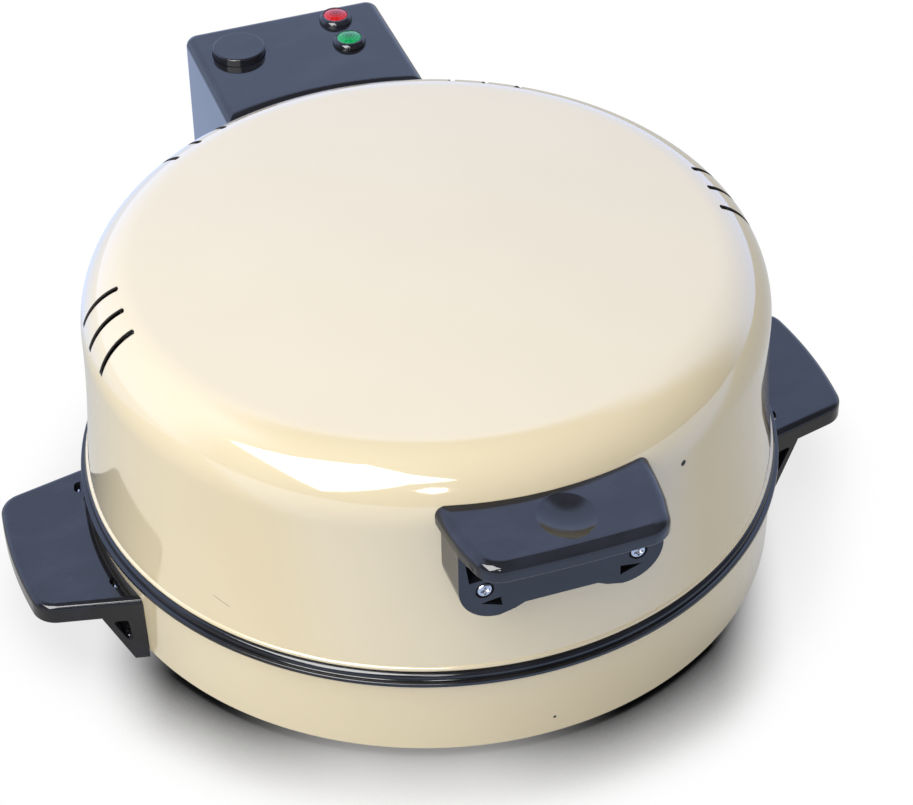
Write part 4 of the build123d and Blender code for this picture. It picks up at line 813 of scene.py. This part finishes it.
def dome_line(inset, wall_count, shoulder_count, crown_count):
    """Half outline of the lid from the rim to the axis, moved in by inset."""
    s = measures("lid_sizes")
    low = LID_LINE + 2 * s.hem_radius
    flare = s.rim_radius - s.wall_radius
    height = s.wall_top - low
    bow = (height**2 + flare**2) / (2 * flare)
    middle = s.wall_radius - inset + bow - math.sqrt(bow**2 - (height / 2) ** 2)
    start = (s.rim_radius - inset, low)
    points = [start] + arc(start, (middle, low + height / 2), (s.wall_radius - inset, s.wall_top), wall_count)
    run, rise = s.shoulder_run - inset, s.shoulder_rise - inset
    slope = math.radians(s.crown_angle)
    turn = math.atan((rise / run) / math.tan(slope))
    centre = s.wall_radius - s.shoulder_run
    for k in range(1, shoulder_count + 1):
        a = turn * k / shoulder_count
        points.append((centre + run * math.cos(a), s.wall_top + rise * math.sin(a)))
    x, z = points[-1]
    radius = x / math.sin(slope)
    top = z + x * math.tan(slope / 2)
    for k in range(1, crown_count + 1):
        r = x * (1 - k / crown_count)
        points.append((r, top - radius + math.sqrt(radius**2 - r**2)))
    return points


def lid_outline():
    """The dome's whole outline: outside, rolled hem and inside."""
    s = measures("lid_sizes")
    hem = (s.rim_radius - s.sheet / 2, LID_LINE + s.hem_radius)
    open_angle = math.degrees(math.acos(s.sheet / 2 / s.hem_radius))
    outer = dome_line(0, 16, 36, 28)
    inner = dome_line(s.sheet, 8, 16, 12)
    roll = round_points(hem, s.hem_radius, open_angle, open_angle - 360 + 2 * (90 - open_angle), 22)
    return outer[::-1] + roll + inner


def slot_blade():
    """One steam slot's cutter: a thin curved blade on a meridian, with round ends."""
    outside, inside, count = 4, -5, 20
    s = measures("lid_sizes")
    centre = s.wall_radius - s.shoulder_run

    def on_shoulder(k, out):
        a = math.radians(s.slot_low + (s.slot_high - s.slot_low) * k / count)
        return centre + (s.shoulder_run + out) * math.cos(a), s.wall_top + (s.shoulder_rise + out) * math.sin(a)

    outer = [on_shoulder(k, outside) for k in range(count + 1)]
    inner = [on_shoulder(count - k, inside) for k in range(count + 1)]
    half = s.slot_width / 2
    side = Vector((0, half * MM, 0))
    piece = draw("slot_blade", [row(point) - side for point in outer + inner])
    bpy.ops.mesh.edge_face_add()
    bpy.ops.mesh.extrude_region_move(TRANSFORM_OT_translate={"value": side * 2})
    bpy.ops.mesh.select_all(action="SELECT")
    bpy.ops.mesh.normals_make_consistent(inside=False)
    bpy.ops.mesh.select_all(action="DESELECT")
    mesh = bmesh.from_edit_mesh(piece.data)
    ends = [row(point) for point in (outer[0], outer[-1], inner[0], inner[-1])]

    def at_end(vertex):
        flat = Vector((vertex.co.x, AXIS.y, vertex.co.z))
        return next((k for k, end in enumerate(ends) if (flat - end).length < 1e-5), None)

    for edge in mesh.edges:
        pair = {at_end(vertex) for vertex in edge.verts}
        same_side = abs(edge.verts[0].co.y - edge.verts[1].co.y) < 1e-6
        edge.select = same_side and pair in ({0, 3}, {1, 2})
    bmesh.update_edit_mesh(piece.data)
    bpy.ops.mesh.select_mode(type="EDGE")
    bpy.ops.mesh.bevel(offset=half * 0.97 * MM, segments=5, affect="EDGES")
    bpy.ops.mesh.select_mode(type="VERT")
    bpy.ops.object.mode_set(mode="OBJECT")
    return piece


def vent_block(floor):
    """One air slot's cutter: a flat block with round ends."""
    reach, length, width, height = 95.2, 36, 4, 8
    clear_selection()
    bpy.ops.mesh.primitive_cube_add(size=1, location=AXIS + Vector((reach, 0, floor)) * MM)
    vent = bpy.context.object
    bpy.ops.transform.resize(value=(length * MM, width * MM, height * MM))
    bpy.ops.object.transform_apply(location=True, rotation=True, scale=True)
    bpy.ops.object.mode_set(mode="EDIT")
    bpy.ops.mesh.select_all(action="DESELECT")
    mesh = bmesh.from_edit_mesh(vent.data)
    for edge in mesh.edges:
        edge.select = abs(edge.verts[0].co.z - edge.verts[1].co.z) > height / 2 * MM
    bmesh.update_edit_mesh(vent.data)
    bpy.ops.mesh.bevel(offset=(width / 2 - 0.05) * MM, segments=5, affect="EDGES")
    bpy.ops.object.mode_set(mode="OBJECT")
    return vent


class MAKER_OT_lid_shell(bpy.types.Operator):
    """Turns the enamelled dome with its rolled hem and cuts its steam slots"""

    bl_idname = "maker.lid_shell"
    bl_label = "Lid shell"

    def execute(self, context):
        shell = lathe("lid_dome", lid_outline(), ENAMEL_ANGLE)
        cut(shell, turned_cutters(slot_blade(), slot_angles(), "slot_blades"))
        smooth(shell, ENAMEL_ANGLE)
        hand_over(shell, "cream_enamel", "lid", "lid_shell")
        return {"FINISHED"}


class MAKER_OT_base_pan(bpy.types.Operator):
    """Turns the enamelled base pan with its hem and cuts the air slots in its floor"""

    bl_idname = "maker.base_pan"
    bl_label = "Base pan"

    def execute(self, context):
        s = measures("pan_sizes")
        floor, top = PAN_LOW.z / MM, PAN_HIGH.z / MM
        hem = (s.top_radius, top - s.hem_radius)
        bend = (s.bottom_radius - s.corner, floor + s.corner)
        outline = [(radius, floor) for radius in (0, 60, 120)]
        outline += round_points(bend, s.corner, -90, 0, 10)
        outline += [(s.top_radius - 0.03, hem[1] - s.hem_radius)]
        outline += round_points(hem, s.hem_radius, -90, 180, 16)[1:]
        outline += [(s.top_radius - s.sheet, hem[1] - 3), (s.bottom_radius - s.sheet, floor + s.corner)]
        outline += round_points(bend, s.corner - s.sheet, 0, -90, 8)[1:]
        outline += [(radius, floor + s.sheet) for radius in (120, 60, 0)]
        pan = lathe("pan_bowl", outline, ENAMEL_ANGLE)
        angles = [360 / s.vents * (k + 0.5) for k in range(s.vents)]
        cut(pan, turned_cutters(vent_block(floor), angles, "vent_cutters"))
        smooth(pan, ENAMEL_ANGLE)
        hand_over(pan, "cream_enamel", "base", "base_pan")
        return {"FINISHED"}


# Ring and plate


class MAKER_OT_rim_ring(bpy.types.Operator):
    """Turns the black stepped ring between pan and lid"""

    bl_idname = "maker.rim_ring"
    bl_label = "Rim ring"

    def execute(self, context):
        low, deck, lip, base = 50.3, 56.7, 60.0, 50.0
        foot, ledge, shoulder = base - 6, 53.2, deck - 3.4
        bore, spigot_in, spigot_out, step, rim = 151.0, 169.48, 172.68, 174.9, 176.9
        lip_in, lip_out = 158.6, 164.2
        outline = [(radius, deck) for radius in (lip_out, 168.0, 172.0, 172.4)]
        outline += arc((172.4, deck), (174.3, deck - 1.0), (step, shoulder), 8)
        outline += [(174.55, shoulder - 0.35), (174.75, shoulder - 0.6)]
        outline += arc((176.2, shoulder - 0.75), (176.68, shoulder - 0.95), (176.86, shoulder - 1.4), 6)
        outline += [(rim, low + 0.3), (rim - 0.3, low), (spigot_out, low), (spigot_out, foot + 0.4)]
        outline += [(172.3, foot), (169.8, foot), (spigot_in, foot + 0.3), (spigot_in, base)]
        outline += [(bore + 0.3, base), (bore, base + 0.3), (bore, ledge - 0.3), (bore + 0.3, ledge)]
        outline += [(lip_in, ledge), (lip_in, lip - 0.8), (lip_in + 0.4, lip - 0.2), (lip_in + 1.0, lip)]
        outline += [(lip_out - 1.0, lip), (lip_out - 0.3, lip - 0.3), (lip_out, lip - 0.9), (lip_out, deck)]
        ring = lathe("stepped_ring", outline, 40)
        hand_over(ring, "black_ring_enamel", "base", "rim_ring")
        return {"FINISHED"}


class MAKER_OT_baking_plate(bpy.types.Operator):
    """Turns the coated baking plate with its low rim and the sensor boss below"""

    bl_idname = "maker.baking_plate"
    bl_label = "Baking plate"

    def execute(self, context):
        bottom, top, rim, boss = 53.3, 55.8, 158.0, 9.0
        outline = [(radius, top) for radius in (0, 50, 100, 149.6)]
        outline += [(150.2, top + 0.12), (152.4, top + 0.86), (153.2, top + 1.0), (rim - 1.0, top + 1.0)]
        outline += [(rim - 0.3, top + 0.7), (rim, top), (rim, bottom + 0.3), (rim - 0.3, bottom)]
        outline += [(100, bottom), (boss, bottom)]
        outline += [(boss, bottom - 1.7), (boss - 0.3, bottom - 2.0), (0, bottom - 2.0)]
        plate = lathe("coated_plate", outline, 25)
        hand_over(plate, "dark_coating", "base", "baking_plate")
        return {"FINISHED"}


# Pieces that keep the shape of the solids


class MAKER_OT_lid_liner(bpy.types.Operator):
    """Smooths the bright liner in the lid and the reflector in the base"""

    bl_idname = "maker.lid_liner"
    bl_label = "Liner and reflector"

    def execute(self, context):
        refine("bright_sheet", "lid_liner", "lower_reflector")
        return {"FINISHED"}


class MAKER_OT_front_handle(bpy.types.Operator):
    """Polishes the front handle"""

    bl_idname = "maker.front_handle"
    bl_label = "Front handle"

    def execute(self, context):
        refine("black_bakelite", "front_handle")
        return {"FINISHED"}


class MAKER_OT_side_handles(bpy.types.Operator):
    """Polishes the two side handles"""

    bl_idname = "maker.side_handles"
    bl_label = "Side handles"

    def execute(self, context):
        refine("black_bakelite", "side_handle_right", "side_handle_left")
        return {"FINISHED"}


class MAKER_OT_rear_box(bpy.types.Operator):
    """Polishes the switch box and the push button, and smooths the box's cover"""

    bl_idname = "maker.rear_box"
    bl_label = "Rear box"

    def execute(self, context):
        refine("black_bakelite", "rear_box")
        refine("matt_black", "rear_box_cover")
        refine("black_bakelite", "power_button")
        return {"FINISHED"}


class MAKER_OT_lamps(bpy.types.Operator):
    """Polishes the two indicator lamps: bezels, lenses and bulbs"""

    bl_idname = "maker.lamps"
    bl_label = "Indicator lamps"

    def execute(self, context):
        colours = context.scene.maker_colours
        for name, colour in (("red", colours.red), ("green", colours.green)):
            refine("black_bakelite", name + "_bezel")
            lens = name + "_lens"
            low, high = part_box(lens)
            MADE[lens] = lens_finish(lens, tuple(colour), tuple((low + high) / 2))
            refine(lens, lens)
        repaint("bulb_glass", "indicator_bulbs")
        return {"FINISHED"}


class MAKER_OT_screws(bpy.types.Operator):
    """Brightens the screws, bolts and nuts"""

    bl_idname = "maker.screws"
    bl_label = "Screws"

    def execute(self, context):
        refine("nickel_screw", "front_handle_screws", "side_handle_screws", "rear_box_screws", "bracket_screws")
        repaint(
            "nickel_screw", "foot_screws", "liner_screws", "reflector_screws", "side_handle_nuts",
            "bracket_nuts", "front_handle_nuts", "rear_box_bolts", "rear_box_nuts",
        )
        return {"FINISHED"}


class MAKER_OT_hinge(bpy.types.Operator):
    """Polishes the hinge bracket with its pins and clips"""

    bl_idname = "maker.hinge"
    bl_label = "Hinge"

    def execute(self, context):
        refine("black_bakelite", "hinge_bracket")
        refine("plain_steel", "hinge_pins", "pin_clips")
        return {"FINISHED"}


class MAKER_OT_heaters(bpy.types.Operator):
    """Smooths the two tubular heaters with their clips and beads"""

    bl_idname = "maker.heaters"
    bl_label = "Heaters"

    def execute(self, context):
        refine("heater_steel", "lower_element", "upper_element")
        refine("plain_steel", "lower_hangers", "upper_hangers")
        refine("ceramic", "lower_insulators", "upper_insulators")
        repaint("plain_steel", "liner_posts")
        return {"FINISHED"}


class MAKER_OT_controls(bpy.types.Operator):
    """Finishes the control parts, the wiring, the cord gland and the feet"""

    bl_idname = "maker.controls"
    bl_label = "Controls and wiring"

    def execute(self, context):
        repaint("ceramic", "thermostat")
        repaint("plain_steel", "thermostat_bracket", "thermal_fuse")
        repaint("white_plastic", "terminal_block", "lid_terminal_block", "power_switch")
        refine("wire_sleeve", "base_leads", "lid_leads", "harness_base", "harness_lid")
        refine("matt_black", "cord_gland")
        repaint("matt_black", "gland_nut")
        refine("foot_rubber", "feet")
        return {"FINISHED"}


# Stage


def placed(place, x_way, y_way, z_way):
    """The matrix of an object that stands at a place with its axes along three directions."""
    return Matrix.Translation(place) @ Matrix((x_way, y_way, z_way)).transposed().to_4x4()


def rolled(side, upright, degrees):
    """Two directions turned in their own plane."""
    a = math.radians(degrees)
    return side * math.cos(a) + upright * math.sin(a), upright * math.cos(a) - side * math.sin(a)


def room_light(context):
    """A room that is white to the camera, has its levels for lit faces, and is bluish in polished ones."""
    studio = context.scene.studio
    world = bpy.data.worlds.new("studio_room")
    world.use_nodes = True
    context.scene.world = world
    f = Finish("room", world.node_tree)
    background = f.tree.nodes["Background"]
    way = f.add("ShaderNodeTexCoord", output="Generated")
    across, back, up = (f.part(way, axis) for axis in "XYZ")
    behind = back.rise(-0.15, 0.3) * (1.0 - up.rise(0.8, 0.93))
    level = behind * (studio.room_back - studio.room_front) + studio.room_front
    level = level + (0.0 - across).rise(0.2, 0.9) * studio.room_left
    seen, mirrored = f.light_path("Is Camera Ray"), f.light_path("Is Glossy Ray")
    gleam = f.mix(behind, (0.22, 0.24, 0.32), (1.05, 1.3, 2.0))
    f.feed(background.inputs["Strength"], level * (1.0 - seen - mirrored) + seen + mirrored)
    f.feed(background.inputs["Color"], f.mix(mirrored, (1.0, 1.0, 1.0), gleam))


def floor_finish(studio):
    """Pale floor that keeps the object's shadow near it, deepened there by a painted shadow, and is white
    further off.
    """
    white, camera_right = (1.0, 1.0, 1.0), (0.946, -0.325, 0.0)
    shade_reach, shadow_start, shadow_end = 0.068, 0.195, 0.26
    middle, side_start, side_end, side_loss = 0.012, 0.13, 0.175, 0.8
    f = Finish("pale_floor")
    place = f.place()
    x, y = f.part(place, "X"), f.part(place, "Y")
    far = f.axis_distance()
    off_centre = f.along(place, camera_right)
    camera, mirrored = f.light_path("Is Camera Ray"), f.light_path("Is Glossy Ray")
    seen = f.math("MAXIMUM", camera, f.math("MAXIMUM", mirrored, f.light_path("Is Transmission Ray")))

    # Painted shadow: close below the object the floor is darker to the camera, most of all at the sides
    open_sky = f.add("ShaderNodeAmbientOcclusion", {"samples": 24}, {"Distance": shade_reach}, output=1)
    depth = 0.55 + abs(off_centre).rise(0.02, 0.1) * 0.45
    lightness = 1.0 - (1.0 - open_sky.rise(0.38, 1.0)) * depth
    cloud = f.noise(3.0)
    tone = f.mix(cloud * 0.1, shade(white, studio.floor), shade(white, studio.floor * 0.98))
    # The painted shadow darkens the floor's colour for the camera only
    tone = f.mix(camera * (1.0 - lightness), tone, (0.0, 0.0, 0.0))
    f.surface(base_color=tone, roughness=0.9, specular_ior_level=0.1)
    glow = f.emission(white, seen * lightness * studio.floor_glow)
    lit = f.add("ShaderNodeAddShader", values={0: Term(f, f.main.outputs[0]), 1: glow})

    # Further off it is plain white to the camera, and mirrors see it in three tones
    gleam = f.mix(y.rise(-0.27, -0.17), (0.78, 0.98, 1.4), (0.62, 0.62, 0.62))
    gleam = f.mix(y.rise(0.18, 0.3) * (1.0 - x.rise(0.0, 0.15)), gleam, (0.7, 0.86, 1.25))
    pale = f.emission(f.mix(mirrored, white, gleam), 1.0)
    kept = 1.0 - abs(off_centre - middle).rise(side_start, side_end) * side_loss
    shadow = (1.0 - far.rise(shadow_start, shadow_end)) * (1.0 - open_sky.rise(0.75, 1.0)) * kept
    f.output(f.add("ShaderNodeMixShader", values={0: seen * (1.0 - shadow), 1: lit, 2: pale}))
    return f.material


def studio_floor(context):
    bpy.ops.mesh.primitive_plane_add(size=16, location=(0, 0, 0))
    floor = context.object
    floor.name = "studio_floor"
    bpy.ops.object.mode_set(mode="EDIT")
    bpy.ops.mesh.subdivide(number_cuts=3)
    bpy.ops.object.mode_set(mode="OBJECT")
    floor.data.materials.append(floor_finish(context.scene.studio))


def key_light(scene):
    """The soft box that lights the object. Polished faces show the mirrored panes in its place."""
    data = bpy.data.lights.new("key_softbox", "AREA")
    data.shape = "RECTANGLE"
    data.size, data.size_y = KEY_SIDES
    data.energy = scene.studio.key_power
    key = bpy.data.objects.new("key_softbox", data)
    way = Vector(KEY_WAY).normalized()
    turn = way.to_track_quat("Z", "Y").to_matrix().to_4x4()
    key.matrix_world = Matrix.Translation(way * KEY_DISTANCE) @ turn
    key.visible_glossy = False
    scene.collection.objects.link(key)


def mirrored_softbox(strength):
    """The soft box and its small side window as polished faces show them, without light of their own."""
    aim = Vector(CARD_WAY).normalized()
    across = Vector((0, 0, 1)).cross(aim).normalized()
    upward = aim.cross(across)
    sideways, up, away = CARD_SHIFT
    middle = spot(*CARD_TARGET) + (aim * away + across * sideways + upward * up) * MM
    card_plane = placed(middle, *rolled(across, upward, CARD_TURN), aim)
    panes = []
    for name, corners in (("softbox_pane", SOFTBOX_OUTLINE), ("side_window", SIDE_WINDOW)):
        pane = draw(name, [card_plane @ Vector((u, v, 0.0)) for u, v in corners])
        bpy.ops.mesh.edge_face_add()
        bpy.ops.object.mode_set(mode="OBJECT")
        panes.append(pane)
    card = merge(panes, "mirrored_softbox")
    f = Finish("softbox_glow")
    f.output(f.emission((1, 1, 1), strength))
    card.data.materials.append(f.material)
    for ray in ("camera", "diffuse", "transmission", "volume_scatter", "shadow"):
        setattr(card, "visible_" + ray, False)


def photo_camera(scene):
    """The camera of the photograph."""
    back, right = Vector(CAMERA_BACK).normalized(), Vector(CAMERA_RIGHT).normalized()
    up = back.cross(right)
    to_right, to_top, to_back = CAMERA_SHIFT
    eye = spot(0, 0, 0) + (back * to_back + right * to_right + up * to_top) * MM
    data = bpy.data.cameras.new("photo_camera")
    data.sensor_fit = "HORIZONTAL"
    data.sensor_width = SENSOR_WIDTH
    data.lens = LENS
    data.clip_start, data.clip_end = 0.05, 60
    viewer = bpy.data.objects.new("photo_camera", data)
    viewer.matrix_world = placed(eye, *rolled(right, up, CAMERA_ROLL), back)
    scene.collection.objects.link(viewer)
    scene.camera = viewer


class MAKER_OT_stage(bpy.types.Operator):
    """Sets up the floor, the studio light and the camera"""

    bl_idname = "maker.stage"
    bl_label = "Stage"

    def execute(self, context):
        clear_selection()
        studio_floor(context)
        room_light(context)
        key_light(context.scene)
        mirrored_softbox(context.scene.studio.glint)
        photo_camera(context.scene)
        context.scene.view_settings.view_transform = "Standard"
        return {"FINISHED"}


class MAKER_PT_sidebar(bpy.types.Panel):
    """Sizes, colours and steps of the dressing"""

    bl_idname = "MAKER_PT_sidebar"
    bl_label = "Flatbread maker"
    bl_space_type = "VIEW_3D"
    bl_region_type = "UI"
    bl_category = "Flatbread Maker"

    def draw(self, context):
        for step in STEPS:
            self.layout.operator(step.bl_idname)
        for group in GROUPS:
            values = getattr(context.scene, group)
            box = self.layout.box()
            for key in values.__annotations__:
                box.prop(values, key)


GROUPS = {"lid_sizes": LidSizes, "pan_sizes": PanSizes, "maker_colours": Colours, "studio": Studio}
STEPS = (
    MAKER_OT_stage,
    MAKER_OT_lid_shell,
    MAKER_OT_base_pan,
    MAKER_OT_rim_ring,
    MAKER_OT_baking_plate,
    MAKER_OT_lid_liner,
    MAKER_OT_front_handle,
    MAKER_OT_side_handles,
    MAKER_OT_rear_box,
    MAKER_OT_lamps,
    MAKER_OT_screws,
    MAKER_OT_hinge,
    MAKER_OT_heaters,
    MAKER_OT_controls,
)


def register():
    for cls in (*GROUPS.values(), *STEPS, MAKER_PT_sidebar):
        bpy.utils.register_class(cls)
    for name, cls in GROUPS.items():
        setattr(bpy.types.Scene, name, PointerProperty(type=cls))


def unregister():
    for name in GROUPS:
        delattr(bpy.types.Scene, name)
    for cls in (MAKER_PT_sidebar, *reversed(STEPS), *reversed(GROUPS.values())):
        bpy.utils.unregister_class(cls)


def main():
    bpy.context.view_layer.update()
    register()
    for step in STEPS:
        group, name = step.bl_idname.split(".")
        getattr(getattr(bpy.ops, group), name)()


if __name__ == "__main__":
    main()
